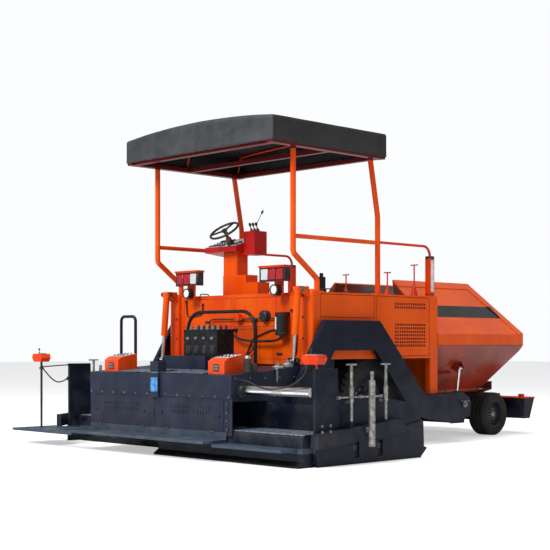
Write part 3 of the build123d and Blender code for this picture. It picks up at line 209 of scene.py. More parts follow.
LEAD_ACROSS, HOSE_ACROSS = 0.016, 0.028
lead("right_lead", "screed", "right_cable",
     [(2.2, -2.612, 1.0295), (2.2, -2.612, 0.92), (1.99, -2.7, 0.78), (1.65, -2.715, 0.77), (1.4, -2.7, 0.86),
      (1.2505, -2.7, 0.86)], LEAD_ACROSS, ("right_box_slide", 0.0732))
lead("left_lead", "left_screed_box", "left_cable",
     [(-2.3, -2.7426, 0.93), (-2.23, -2.65, 0.765), (-2.24, -2.48, 0.745), (-2.285, -2.369, 0.813)],
     LEAD_ACROSS)
lead("suction_hose", "tractor", "rear_hoses",
     [(0.795, -1.59, 1.3307), (0.795, -1.59, 1.268), (0.3, -1.59, 1.262), (0.06, -1.61, 1.3),
      (-0.06, -1.645, 1.4), (-0.06, -1.5003, 1.4)], HOSE_ACROSS)


# Orange enamel of the body: two coats of machine paint over primer on folded steel
# sheet, clouded a little by the weather, dusty low down and rubbed along its edges.
ORANGE, ORANGE_DEEP = (0.8, 0.095, 0.0), (0.7, 0.07, 0.0)
RED_ORANGE, RED_DEEP = (0.68, 0.048, 0.0), (0.54, 0.03, 0.0)
DUST = (0.26, 0.235, 0.21)


def enamel(name, bright, deep, gloss=0.3, dusty=0.2, rubbed=(0.42, 0.3, 0.24), coat=0.1):
    """Machine paint of two shades, as (material, shader, place)."""
    material, shader, place = finish(name, roughness=gloss, Coat_Roughness=0.12, Specular_IOR_Level=0.16)
    cloud = place.noise(1.7, 6)
    streak = place.noise(9, 5, (1, 1, 0.12))
    colour = (cloud * 0.7 + streak * 0.3).ramp(0.36, 0.62).mix(deep, bright)
    low = place.along(2).ramp(0.15, 1.3, 1.0, 0.0) * place.noise(5, 8).ramp(0.42, 0.66)
    colour = (low * dusty).mix(colour, DUST)
    bevel = place.node("ShaderNodeBevel", {"samples": 4}, Radius=0.006)
    face = place.node("ShaderNodeNewGeometry")
    turned_by = place.node("ShaderNodeVectorMath", {"operation": "DOT_PRODUCT"},
                           i0=Socket(place.tree, bevel.outputs[0]),
                           i1=Socket(place.tree, face.outputs["Normal"])).outputs["Value"]
    edge = Socket(place.tree, turned_by).ramp(0.995, 0.9) * place.noise(38, 5).ramp(0.47, 0.6)
    colour = (edge * 0.55).mix(colour, rubbed)
    feed(shader, place, colour, roughness=(cloud * 0.25 + low * 0.35 + gloss - 0.1).ramp(0, 1),
         coat=(coat - low * coat).ramp(0, 1), bump=(place.noise(130, 2), 0.06, 0.0008))
    return material, shader, place


def recolour(place, shader, mask, colour):
    """Lays a second colour over what already feeds Base Color, where the mask is 1."""
    before = Socket(place.tree, shader.inputs["Base Color"].links[0].from_socket)
    place.tree.links.new(mask.mix(before, colour).out, shader.inputs["Base Color"])


def dress(material, *nodes):
    """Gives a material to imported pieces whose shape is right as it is."""
    for node in nodes:
        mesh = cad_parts[node].data
        if mesh.materials:
            for index in range(len(mesh.materials)):
                mesh.materials[index] = material
        else:
            mesh.materials.append(material)


body_orange, *_ = enamel("body orange", ORANGE, ORANGE_DEEP)
dress(body_orange, "side_panels", "operator_platform", "engine_hood", "left_lift_barrel", "right_lift_barrel")
frame_red, *_ = enamel("frame orange red", RED_ORANGE, RED_DEEP)
dress(frame_red, "handrails", "gate_cranks")
DESK_SHADE_RED = (0.42, 0.012, 0.01)
desk_orange_shaded, shader, place = enamel("desk orange and painted shade", ORANGE, RED_ORANGE)
x, y, z = place.along(0), place.along(1), place.along(2)
# painted shade: the desk's top and pod, above 2.33 m, are painted a crimson red over the orange
desk = (z > 2.328) * ((x > -0.352) | (z > 2.405) | (y < -1.152) | (y > -0.968))
recolour(place, shader, desk, DESK_SHADE_RED)
dress(desk_orange_shaded, "console")
canopy_red, shader, place = enamel("canopy frame orange", ORANGE, RED_ORANGE)
# painted shade: the frame's top rails, above 3.4 m, are painted a dark red
recolour(place, shader, place.along(2) > 3.4, (0.11, 0.008, 0.008))
dress(canopy_red, "canopy_frame")


# Rear wall of the tractor: painted sheet between two rounded corner posts, with the
# black suction filter and the dark blue hose port bolted to it.
WALL = -1.5
rear_orange, shader, place = enamel("rear wall orange", ORANGE, RED_ORANGE)
x = place.along(0)
fittings = (place.along(1) < WALL - 0.0005) * (abs(x) < 0.9)
FILTER_BLACK, PORT_BLUE = (0.02, 0.021, 0.022), (0.02, 0.03, 0.075)
recolour(place, shader, fittings, (x < 0.6).mix(FILTER_BLACK, PORT_BLUE))
dress(rear_orange, "rear_panel")


# Navy enamel of the chassis, arms and outriggers: thick semi-gloss paint on plate,
# chipped to primer and greyed by asphalt dust near the ground.
NAVY, NAVY_DEEP = (0.007, 0.0115, 0.028), (0.0035, 0.006, 0.015)
SLATE, SLATE_DEEP = (0.016, 0.023, 0.046), (0.01, 0.0145, 0.03)
chassis_navy, *_ = enamel("chassis navy", NAVY, NAVY_DEEP, 0.34, 0.12, (0.08, 0.09, 0.11), 0.05)
dress(chassis_navy, "main_frame", "outriggers", "tow_arms", "front_axle", "rear_axle", "left_knuckle",
      "right_knuckle")
oily_black, *_ = enamel("oily black", (0.012, 0.012, 0.014), (0.006, 0.006, 0.007), 0.34, 0.1,
                        (0.08, 0.075, 0.07), 0.1)
dress(oily_black, "guard_hoops", "left_wing_barrel", "right_wing_barrel", "exhaust_stack")


# Screed body: slate blue housing over two doors, with lighter non-slip plates on
# the sloping deck, all of thick plate that the heat and the mix have dulled.
screed_slate, shader, place = enamel("screed slate", SLATE, SLATE_DEEP, 0.38, 0.1, (0.1, 0.12, 0.15), 0.05)
DECK_REAR, DECK_LOW, DECK_SLOPE = -2.775, 0.905, 0.0711
height = place.along(2) - (DECK_LOW + (place.along(1) - DECK_REAR) * DECK_SLOPE)
plates = (height > 0.0085) * (height < 0.02) * (abs(place.along(0)) < 0.79)
worn = place.noise(26, 6).ramp(0.4, 0.62)
recolour(place, shader, plates, worn.mix((0.045, 0.062, 0.085), (0.17, 0.2, 0.24)))
dress(screed_slate, "screed_frame")
board_slate, *_ = enamel("walkboard slate", (0.05, 0.072, 0.105), (0.028, 0.042, 0.066), 0.42, 0.15,
                         (0.25, 0.28, 0.32), 0.05)
dress(board_slate, "walkboard")


# Telescopic boxes and their end plates: navy boxes with a light slotted deck to
# stand on and a black wear sole under it.
def box_paint(name, deck):
    """Navy with dulled boards, a worn deck between two places in Y, and a black sole."""
    material, shader, place = enamel(name, NAVY, NAVY_DEEP, 0.36, 0.12, (0.1, 0.12, 0.15), 0.05)
    x, y, z = abs(place.along(0)), place.along(1), place.along(2)
    tread = (z > 0.32) * (z < 0.3305) * (x < 2.269) * (y > deck[0]) * (y < deck[1])
    pits = place.noise(34, 7).ramp(0.42, 0.6)
    boards = (z > 0.14) * (z < 0.192) * (x > 1.1)
    recolour(place, shader, boards, (0.045, 0.065, 0.095))
    recolour(place, shader, tread, pits.mix((0.06, 0.08, 0.11), (0.2, 0.235, 0.28)))
    recolour(place, shader, (z < 0.058) * (x < 2.269), (0.012, 0.012, 0.013))
    return material


dress(box_paint("right box navy", (-2.745, -2.262)), "right_extension")
dress(box_paint("left box navy", (-2.205, -1.725)), "left_extension")


# End gates: a navy gate plate and bar, with the bright zinc of the jack screws, the
# lock cylinder and the lift rings standing on it.
gate_navy, shader, place = enamel("gate navy", NAVY, NAVY_DEEP, 0.36, 0.12, (0.1, 0.12, 0.15), 0.05)
x, z = abs(place.along(0)), place.along(2)
bright = (z > 0.447) | (x > 2.4255)
spangle = place.noise(30, 6).ramp(0.35, 0.65)
recolour(place, shader, bright, spangle.mix((0.18, 0.175, 0.165), (0.45, 0.44, 0.42)))
feed(shader, place, metallic=bright * 0.9,
     bump=(((z > 0.8) * place.wave(40, "Z")) + place.noise(130, 2) * 0.1, 0.4, 0.0012))
dress(gate_navy, "left_end_gate", "right_end_gate")


# Chrome of the piston rods and guide tubes: hard chrome, polished along the rod,
# with a thin film of oil and dust.
chrome, shader, place = finish("hard chrome", roughness=0.16, metallic=1.0)
film = place.noise(6, 6).ramp(0.42, 0.68)
feed(shader, place, film.mix((0.83, 0.84, 0.86), (0.55, 0.54, 0.52)), roughness=film.ramp(0, 1, 0.12, 0.4),
     bump=(place.noise(300, 2, (0.05, 1, 1)), 0.05, 0.0003))
dress(chrome, "left_wing_rod", "right_wing_rod", "left_lift_rod", "right_lift_rod", "left_guide_tube",
      "right_guide_tube")


# Wear steel of the conveyor, the augers and the push rollers: bare, polished by the
# mix where it slides and brown-black in the corners.
wear_steel, shader, place = finish("wear steel", roughness=0.45, metallic=0.8)
dirt = place.noise(8, 8).ramp(0.4, 0.62)
feed(shader, place, dirt.mix((0.3, 0.29, 0.28), (0.05, 0.04, 0.033)), roughness=dirt.ramp(0, 1, 0.3, 0.75),
     metallic=dirt.ramp(0, 1, 0.95, 0.3), bump=(place.noise(60, 6), 0.3, 0.002))
dress(wear_steel, "conveyor", "left_auger", "right_auger", "push_rollers", "engine")


# Push beam: a box of thick navy plate across the front, welded to three arms of the
# chassis, with an orange-red top plate.
beam_paint, shader, place = enamel("push beam navy", NAVY, NAVY_DEEP, 0.4, 0.15, (0.12, 0.14, 0.17), 0.1)
recolour(place, shader, place.along(2) > 0.4925, place.noise(5, 6).ramp(0.4, 0.65).mix(RED_DEEP, RED_ORANGE))
dress(beam_paint, "push_beam")


# Tyres on their rims: black rubber with worn lugs on the driven pair and three grooves
# round the steered pair, mounted on navy rims that ten nuts hold.
def make(name, bm, body, material, replaces=(), smooth=None):
    """Turns finished mesh work into a piece that rides on a body."""
    bmesh.ops.recalc_face_normals(bm, faces=bm.faces)
    mesh = bpy.data.meshes.new(name)
    bm.to_mesh(mesh)
    bm.free()
    mesh.materials.append(material)
    if smooth:
        mesh.polygons.foreach_set("use_smooth", [True] * len(mesh.polygons))
        mesh.set_sharp_from_angle(angle=math.radians(smooth))
    made = bpy.data.objects.new(name, mesh)
    bpy.context.scene.collection.objects.link(made)
    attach(made, body)
    if replaces:
        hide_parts(*replaces)
    return made


def slab(bm, low, high, edge=0.002, turn=None):
    """A box between any two opposite corners, its edges rounded, turned about its middle if asked."""
    middle = (Vector(low) + Vector(high)) / 2
    size = [abs(side) for side in Vector(high) - Vector(low)]
    part = bmesh.ops.create_cube(bm, size=1)["verts"]
    bmesh.ops.scale(bm, verts=part, vec=size)
    if edge:
        edges = list({e for v in part for e in v.link_edges})
        part = bmesh.ops.bevel(bm, geom=edges, offset=edge, segments=1, affect="EDGES", profile=0.7)["verts"]
    if turn:
        bmesh.ops.transform(bm, verts=part, matrix=turn)
    bmesh.ops.translate(bm, verts=part, vec=middle)


def frame_of(centre, axis):
    """A matrix whose Z runs along the axis, from the centre."""
    turned = Vector((0, 0, 1)).rotation_difference(Vector(axis))
    return Matrix.Translation(centre) @ turned.to_matrix().to_4x4()


def lathe(bm, profile, centre, axis, steps=32):
    """A turned piece: (radius, height) pairs spun round an axis, closed where the radius is 0."""
    rings = []
    place_at = frame_of(centre, axis)
    for radius, height in profile:
        if radius == 0:
            rings.append([bm.verts.new(place_at @ Vector((0, 0, height)))] * steps)
            continue
        turns = (2 * math.pi * i / steps for i in range(steps))
        rings.append([bm.verts.new(place_at @ Vector((radius * math.cos(a), radius * math.sin(a), height)))
                      for a in turns])
    for low, high in zip(rings, rings[1:]):
        for i in range(steps):
            j = (i + 1) % steps
            corners = []
            for vert in (low[i], low[j], high[j], high[i]):
                if vert not in corners:
                    corners.append(vert)
            if len(corners) > 2:
                bm.faces.new(corners)


def bolt(bm, centre, axis, across=0.024, height=0.012):
    """A hexagon head on its washer."""
    lathe(bm, [(0, 0), (across * 0.75, 0), (across * 0.75, 0.003), (0, 0.003)], centre, axis, 16)
    lathe(bm, [(0, 0.003), (across * 0.577, 0.003), (across * 0.577, height * 0.85), (across * 0.47, height),
               (0, height)], centre, axis, 6)


tyre_rubber, shader, place = finish("tyre rubber", roughness=0.85, Specular_IOR_Level=0.3)
cloud, grit = place.noise(5, 6), place.noise(70, 6)
dusty = (cloud * 0.5 + grit * 0.5).ramp(0.42, 0.62)
feed(shader, place, dusty.mix((0.009, 0.009, 0.01), (0.038, 0.035, 0.033)),
     roughness=dusty.ramp(0, 1, 0.7, 0.95), bump=(grit + place.noise(350, 3) * 0.4, 0.35, 0.002))
rim_navy, *_ = enamel("rim navy", NAVY, NAVY_DEEP, 0.34, 0.15, (0.08, 0.09, 0.11), 0.1)
dress(rim_navy, "left_rear_rim", "right_rear_rim", "left_front_rim", "right_front_rim")
bolt_steel, shader, place = finish("bolt steel", roughness=0.38, metallic=0.9)
stain = place.noise(45, 5).ramp(0.4, 0.62)
feed(shader, place, stain.mix((0.3, 0.29, 0.27), (0.09, 0.07, 0.055)), roughness=stain.ramp(0, 1, 0.3, 0.6),
     bump=(place.noise(240, 3), 0.2, 0.0006))

WHEELS = {"rear": dict(x=0.95, y=-0.4, radius=0.56, width=0.38, rim=0.32, hub=0.17, shaft=0.93),
          "front": dict(x=0.85, y=2.29, radius=0.29, width=0.27, rim=0.18, hub=0.092, shaft=0.88)}
LUG, LUGS, GROOVE, NUTS = 0.022, 40, 0.012, 10


def tyre_section(sidewall, tread, half):
    """Bead to bead over the tread; the sidewall's pairs are (radius, distance in from its face)."""
    return ([(q, d - half) for q, d in sidewall] + tread + [(q, half - d) for q, d in reversed(sidewall)]
            + [(sidewall[0][0], sidewall[0][1] - half)])


def tread_bar(bm, place_at, turn, hand, half, r):
    """One raised bar from the middle of the tread to its shoulder; hand is the side it runs to."""
    rows = []
    for a, z, top in ((0.0, 0.004, r - 0.001), (0.04, half * 0.55, r - 0.001),
                      (0.08, half - 0.032, r - 0.006), (0.09, half - 0.004, r - 0.05)):
        bar_half = 0.024 + 0.008 * (z > 0.1)
        foot = top - LUG - 0.006
        section = ((foot, -bar_half), (top, 0.004 - bar_half), (top, bar_half - 0.004), (foot, bar_half))
        rows.append([bm.verts.new(place_at @ Vector((q * math.cos(turn + a + d / r),
                                                     q * math.sin(turn + a + d / r), hand * z)))
                     for q, d in section])
    for low, high in zip(rows, rows[1:]):
        for j in range(4):
            bm.faces.new((low[j], low[(j + 1) % 4], high[(j + 1) % 4], high[j]))
    bm.faces.new(rows[0])
    bm.faces.new(rows[-1][::-1])


for side, s in (("left", -1), ("right", 1)):
    for name, w in WHEELS.items():
        centre, out = (s * w["x"], w["y"], w["radius"]), (s, 0, 0)
        half, r, rim = w["width"] / 2, w["radius"], w["rim"]
        bm = bmesh.new()
        if name == "rear":
            lathe(bm, tyre_section([(rim, 0.025), (rim + 0.02, 0.008), (rim + 0.075, 0), (r - 0.1, 0),
                                    (r - 0.05, 0.012), (r - 0.03, 0.035), (r - LUG, 0.06)], [], half),
                  centre, out, 64)
            for i in range(LUGS):
                for hand in (1, -1):
                    turn = 2 * math.pi * (i + (0.5 if hand > 0 else 0)) / LUGS
                    tread_bar(bm, frame_of(centre, out), turn, hand, half, r)
        else:
            tread = [(r - q, z + d) for z in (-0.062, 0.0, 0.062)
                     for q, d in ((0.001, -0.012), (GROOVE, -0.008), (GROOVE, 0.008), (0.001, 0.012))]
            lathe(bm, tyre_section([(rim, 0.022), (rim + 0.018, 0.006), (rim + 0.04, 0), (r - 0.05, 0.004),
                                    (r - 0.02, 0.014), (r - 0.002, 0.035)], tread, half), centre, out, 96)
        make(f"{side}_{name}_tread", bm, f"{side}_{name}_wheel", tyre_rubber,
             (f"{side}_{name}_tyre",), 35)
        bm = bmesh.new()
        face, q = s * (w["shaft"] + 0.03), w["hub"] - 0.025
        for i in range(NUTS):
            turn = 2 * math.pi * i / NUTS
            bolt(bm, (face, w["y"] + q * math.cos(turn), r + q * math.sin(turn)), out,
                 0.03 if name == "rear" else 0.02, 0.02)
        q = w["hub"] * 0.5
        lathe(bm, [(q, 0), (q, 0.018), (q * 0.85, 0.028), (q * 0.4, 0.032), (0, 0.032)],
              (face, w["y"], r), out, 32)
        make(f"{side}_{name}_nuts", bm, f"{side}_{name}_wheel", bolt_steel, (), 40)


# Hopper: orange bulkhead, dark red worn floor, and two folding wings of plate with a black painted band
# across each tall face; each wing's underside is painted a darker red as painted shade.
hopper_paint, shader, place = enamel("hopper orange", ORANGE, ORANGE_DEEP)
inside = (place.along(1) > 0.6905) * (place.along(2) < 1.6)
scoured = place.noise(4, 8).ramp(0.4, 0.65)
recolour(place, shader, inside, scoured.mix((0.24, 0.028, 0.01), (0.05, 0.036, 0.03)))
dress(hopper_paint, "hopper_frame")
wing_orange, shader, place = enamel("wing orange", ORANGE, ORANGE_DEEP, 0.3, 0.3, (0.5, 0.4, 0.33), 0.4)
x, y, z = abs(place.along(0)), place.along(1), place.along(2)
BEND_X, BEND_Z, RISE, RUN = 1.25, 1.36, 0.7359, 0.6771    # the tall face's foot and its slope
height = (BEND_X - x) * RISE + (z - BEND_Z) * RUN
proud = (x - BEND_X) * RUN + (z - BEND_Z) * RISE
shaded_underside = (z < 1.3) * (((x - 0.76) * 0.772 - (z - 0.62) * 0.6357) > 0.0)
band = (height > 0.315) * (height < 0.545) * (y > 0.76) * (y < 2.33)
lining = (proud < -0.0045) * (z > BEND_Z)
underside_shade, chafed = place.noise(3, 6).ramp(0.4, 0.6), place.noise(12, 5).ramp(0.45, 0.75)
scoured = place.noise(4, 8).ramp(0.4, 0.65)
# painted shade: the downward-facing underside of each wing is painted a darker, clouded red
recolour(place, shader, shaded_underside, underside_shade.mix((0.32, 0.03, 0.008), (0.2, 0.022, 0.01)))
recolour(place, shader, lining, scoured.mix((0.3, 0.04, 0.012), (0.07, 0.045, 0.035)))
recolour(place, shader, band * (proud > 0.0), chafed.mix((0.007, 0.007, 0.007), (0.026, 0.022, 0.022)))
dress(wing_orange, "left_hopper_wing", "right_hopper_wing")

for side, s in (("left", -1), ("right", 1)):
    # the hinge pins' end caps, two at each lug
    bm = bmesh.new()
    for y in (0.728, 1.448, 2.148):
        for face_y in (y - 0.018, y + 0.018):
            lathe(bm, [(0.026, 0), (0.026, 0.006), (0.018, 0.009), (0, 0.009)], (s * 0.76, face_y, 0.62),
                  (0, -1 if face_y < y else 1, 0), 20)
    make(f"{side}_hinge_caps", bm, "tractor", bolt_steel, (), 40)


# Fins of the cooler behind the side grilles: thin black strips that stand on a dark
# backing sheet just inside each panel.
grille_black, shader, place = finish("cooler black", roughness=0.55, metallic=0.2)
dust = place.noise(6, 6).ramp(0.42, 0.65)
feed(shader, place, dust.mix((0.012, 0.012, 0.013), (0.06, 0.052, 0.045)),
     roughness=dust.ramp(0, 1, 0.45, 0.8), bump=(place.wave(120, "Y"), 0.5, 0.002))
FINS, FIN_STEP, FIN = 30, 0.0205, 0.003
for side, s in (("left", -1), ("right", 1)):
    bm = bmesh.new()
    for low, high in ((1.17, 1.51), (1.63, 1.76)):
        slab(bm, (s * 1.222, -0.14, low), (s * 1.232, 0.47, high), 0.001)
        for i in range(FINS):
            y = -0.13 + i * FIN_STEP
            slab(bm, (s * 1.23, y, low + 0.01), (s * 1.2415, y + FIN, high - 0.01), 0)
    make(f"{side}_cooler_fins", bm, "tractor", grille_black)


# Bodywork fittings: seams of the service doors, their hinges and latches, the filter's
# clamp band and blank plate, and the screws that hold the sheets to the chassis.
black_plastic, shader, place = finish("black plastic", roughness=0.45)
grain = place.noise(420, 2)
wear = place.noise(18, 5).ramp(0.45, 0.7)
feed(shader, place, wear.mix((0.012, 0.012, 0.013), (0.045, 0.044, 0.043)),
     roughness=wear.ramp(0, 1, 0.36, 0.62), bump=(grain, 0.25, 0.0006))
seam_black, shader, place = finish("seam rubber", roughness=0.8)
feed(shader, place, place.noise(20, 5).ramp(0.4, 0.65).mix((0.01, 0.01, 0.01), (0.05, 0.04, 0.035)),
     bump=(place.noise(200, 2), 0.3, 0.0006))
plate_white, shader, place = finish("white plate", roughness=0.4)
grime = (place.noise(25, 6) * 0.6 + place.noise(6, 4) * 0.4).ramp(0.42, 0.66)
feed(shader, place, grime.mix((0.82, 0.83, 0.84), (0.5, 0.49, 0.47)), roughness=grime.ramp(0, 1, 0.3, 0.6),
     bump=(place.noise(90, 3), 0.08, 0.0008))


SIDE = 1.25
FILTER_X, FILTER_Y = 0.795, -1.59
PORT_X, PORT_Z = 0.47, 1.56


def seam(bm, axis, at, low, high, width, rise):
    """The rubber-filled gap round a door, as four strips in the plane that the axis crosses."""
    a, b = (i for i in range(3) if i != axis)
    for fixed, run in ((a, b), (b, a)):
        for edge in (low[fixed == b], high[fixed == b]):
            corner0, corner1 = [0, 0, 0], [0, 0, 0]
            corner0[axis], corner1[axis] = sorted((at, at + rise))
            corner0[fixed], corner1[fixed] = edge - width / 2, edge + width / 2
            corner0[run], corner1[run] = low[run == b] - width / 2, high[run == b] + width / 2
            slab(bm, corner0, corner1, 0)


bm = bmesh.new()
for low, high in (((-1.02, 1.44), (-0.14, 1.78)), ((-0.1, 1.44), (0.62, 1.78)), ((-1.02, 1.06), (0.3, 1.41)),
                  ((0.34, 1.06), (1.02, 1.28))):
    seam(bm, 1, WALL, low, high, 0.005, -0.0008)
for s in (1, -1):
    seam(bm, 0, s * SIDE, (-1.42, 1.54), (-0.5, 1.8), 0.006, s * -0.0005)
    seam(bm, 0, s * SIDE, (-0.46, 1.09), (0.53, 1.8), 0.006, s * -0.0005)
make("door_seams", bm, "tractor", seam_black)
bm = bmesh.new()
for s in (1, -1):
    for y in (-1.3, -0.62):
        lathe(bm, [(0, -0.03), (0.007, -0.03), (0.007, 0.03), (0, 0.03)], (s * 1.243, y, 1.805),
              (0, 1, 0), 12)
    slab(bm, (s * 1.244, -0.06, 1.55), (s * 1.2499, 0.06, 1.585), 0.001)
for x, z in ((-0.58, 1.5), (0.26, 1.5), (-0.36, 1.13), (0.68, 1.12)):
    slab(bm, (x - 0.045, WALL - 0.012, z - 0.014), (x + 0.045, WALL, z + 0.014), 0.004)
    lathe(bm, [(0.009, 0), (0.009, 0.016), (0, 0.018)], (x + 0.03, WALL, z), (0, -1, 0), 16)
for s in (1, -1):
    for z in (1.06, 1.3, 1.54, 1.78):
        bolt(bm, (s * 1.11, -1.555, z), (0, -1, 0), 0.018, 0.01)
    for y in (-1.38, -1.05, -0.7, -0.3, 0.05, 0.4):
        lathe(bm, [(0.011, 0), (0.011, 0.003), (0.006, 0.0055), (0, 0.0055)], (s * 1.2445, y, 1.081),
              (s, 0, 0), 14)
make("door_fittings", bm, "tractor", black_plastic, (), 40)

bm = bmesh.new()
for z in (1.36, 1.57):
    lathe(bm, [(0.071, z - 0.008), (0.0735, z - 0.006), (0.0735, z + 0.006), (0.071, z + 0.008)],
          (FILTER_X, FILTER_Y, 0), (0, 0, 1), 40)
lathe(bm, [(0.058, 0), (0.058, 0.006), (0.05, 0.011), (0.012, 0.011), (0.012, 0.02), (0, 0.02)],
      (PORT_X, -1.57, PORT_Z), (0, -1, 0), 36)
for i in range(6):
    a = math.pi * i / 3 + 0.3
    bolt(bm, (PORT_X + 0.048 * math.cos(a), -1.5725, PORT_Z + 0.048 * math.sin(a)), (0, -1, 0), 0.01, 0.007)
make("filter_fittings", bm, "tractor", black_plastic, (), 40)
bm = bmesh.new()
for i in range(9):
    a0, a1 = (math.radians(t) for t in (200 + 7 * i, 207 + 7 * i))
    bm.faces.new([bm.verts.new((FILTER_X + 0.0712 * math.cos(a), FILTER_Y + 0.0712 * math.sin(a), z))
                  for a, z in ((a0, 1.4), (a1, 1.4), (a1, 1.54), (a0, 1.54))])
bmesh.ops.remove_doubles(bm, verts=bm.verts, dist=0.0001)
make("filter_plate", bm, "tractor", plate_white, (), 60)


# Hood, tank lids and exhaust: bent grab handles, filler caps and rows of louvres, with
# a clamp band round the exhaust and a black mouth on it.
grab_black, *_ = enamel("grab black", (0.03, 0.03, 0.032), (0.014, 0.014, 0.015), 0.35, 0.1,
                        (0.3, 0.29, 0.27), 0.2)


def rail(bm, points, radius, steps=12):
    """A round bar bent along points, with its corners mitred."""
    rings = []
    for i, point in enumerate(points):
        before = Vector(points[max(i - 1, 0)])
        after = Vector(points[min(i + 1, len(points) - 1)])
        run = (after - before).normalized()
        turn = Vector((0, 0, 1)).rotation_difference(run).to_matrix()
        circle = (Vector((radius * math.cos(a), radius * math.sin(a), 0))
                  for a in (2 * math.pi * k / steps for k in range(steps)))
        rings.append([bm.verts.new(Vector(point) + turn @ spoke) for spoke in circle])
    for low, high in zip(rings, rings[1:]):
        shift = min(range(steps), key=lambda k: (high[k].co - low[0].co).length)
        for k in range(steps):
            bm.faces.new((low[k], low[(k + 1) % steps], high[(k + 1 + shift) % steps],
                          high[(k + shift) % steps]))
    bm.faces.new(rings[0])
    bm.faces.new(rings[-1])


def arc(start, corner, end, radius, count=5):
    """Points round a corner between two runs, for a bent bar."""
    corner = Vector(corner)
    a, b = (Vector(start) - corner).normalized(), (Vector(end) - corner).normalized()
    return [tuple(corner + a * radius * (1 - t) ** 2 + b * radius * t ** 2)
            for t in (i / count for i in range(count + 1))]


bm = bmesh.new()
for s in (1, -1):
    for x, y, z in ((s * 1.1, -1.1, 1.823), (s * 0.5, 0.3, 1.849)):
        foot, end = (x, y - 0.07, z), (x, y + 0.07, z)
        up, over = (x, y - 0.07, z + 0.045), (x, y + 0.07, z + 0.045)
        rail(bm, [foot, *arc(foot, up, over, 0.02), *arc(up, over, end, 0.02), end], 0.007)
for x, y, r in ((-1.1, -0.75, 0.045), (1.1, -0.8, 0.05)):
    lathe(bm, [(r, 0), (r, 0.022), (r - 0.006, 0.03), (0.012, 0.032), (0.012, 0.04), (0, 0.04)],
          (x, y, 1.823), (0, 0, 1), 32)
EXHAUST_X, EXHAUST_Y = 1.1, -1.245
lathe(bm, [(0.0505, -0.012), (0.0505, 0.012), (0.0485, 0.014)], (EXHAUST_X, EXHAUST_Y, 1.86), (0, 0, 1), 36)
slab(bm, (1.148, -1.257, 1.85), (1.166, -1.233, 1.87), 0.002)
lathe(bm, [(0.019, -0.05), (0.019, 0), (0, 0)], (EXHAUST_X, EXHAUST_Y, 2.044), (0, 0, 1), 24)
make("hood_fittings", bm, "tractor", grab_black, (), 40)
bm = bmesh.new()
LOUVRES, LOUVRE_STEP = 14, 0.05
for i in range(LOUVRES):
    for x in (-0.36, 0.36):
        middle = Vector((x, -0.28 + i * LOUVRE_STEP, 1.849))
        slab(bm, middle - Vector((0.2, 0.013, 0.004)), middle + Vector((0.2, 0.013, 0.006)), 0.003,
             Matrix.Rotation(math.radians(14), 4, "X"))
make("hood_louvres", bm, "tractor", body_orange, (), 40)


# Marker posts at the front corners: a white reflecting strip on the outer face of
# each orange post, with a black cap over it and a black foot plate under it.
bm = bmesh.new()
for s in (1, -1):
    slab(bm, (s * 1.2481, 0.562, 1.88), (s * 1.2496, 0.618, 2.27), 0)
make("post_strips", bm, "tractor", plate_white)
bm = bmesh.new()
for s in (1, -1):
    x = s * 1.208
    slab(bm, (x - 0.043, 0.547, 2.285), (x + 0.0415, 0.633, 2.322), 0.008)
    slab(bm, (x - 0.0415, 0.549, 1.84), (x + 0.0415, 0.631, 1.852), 0.002)
make("post_caps", bm, "tractor", black_plastic, (), 40)


# Rear lamps: three lenses in a black tray under an orange guard, and a round work
# lamp in a black bowl below, all screwed to a bracket on the rear wall.
lamp_paint, shader, place = enamel("lamp guard", RED_ORANGE, RED_DEEP, 0.35, 0.1)
x, y, z = abs(place.along(0)), place.along(1), place.along(2)
tray = (z > 1.9505) * (z < 2.1045)
bowl = (y < -1.6065) * (z < 1.93)
recolour(place, shader, tray | bowl,
         place.noise(30, 4).ramp(0.4, 0.7).mix((0.012, 0.012, 0.013), (0.035, 0.034, 0.033)))
dress(lamp_paint, "rear_lamps")
LENS_STEP, WORK_X, WORK_Z = 0.12333, 0.77, 1.85
for name, colour, places in (("red_lenses", (0.5, 0.0, 0.006), (1, 2)),
                             ("clear_lenses", (0.8, 0.82, 0.85), (0,))):
    lens, shader, place = finish(name.replace("_", " "), roughness=0.12, Coat_Weight=0.25,
                                 Coat_Roughness=0.04)
    flutes = place.wave(55, "X") * 0.6 + place.wave(55, "Z") * 0.4
    shade = tuple(c * 0.45 for c in colour)
    feed(shader, place, flutes.mix(shade, colour), roughness=flutes.ramp(0, 1, 0.2, 0.08),
         bump=(flutes, 0.6, 0.002))
    bm = bmesh.new()
    for s in (1, -1):
        for i in places:
            middle = s * (0.62667 + i * LENS_STEP)
            slab(bm, (middle - 0.055, -1.703, 1.964), (middle + 0.055, -1.6895, 2.091), 0.006)
    make(name, bm, "tractor", lens, (), 40)
lamp_glass, shader, place = finish("lamp glass", roughness=0.1, Coat_Weight=1.0, Coat_Roughness=0.03)
flutes = place.wave(38, "X")
feed(shader, place, flutes.mix((0.72, 0.75, 0.78), (0.93, 0.94, 0.95)), bump=(flutes, 0.5, 0.002))
bm = bmesh.new()
for s in (1, -1):
    lathe(bm, [(0.0515, 0), (0.05, 0.004), (0.036, 0.011), (0.018, 0.0145), (0, 0.0155)],
          (s * WORK_X, -1.683, WORK_Z), (0, -1, 0), 40)
make("work_lamp_glass", bm, "tractor", lamp_glass, (), 60)
bm = bmesh.new()
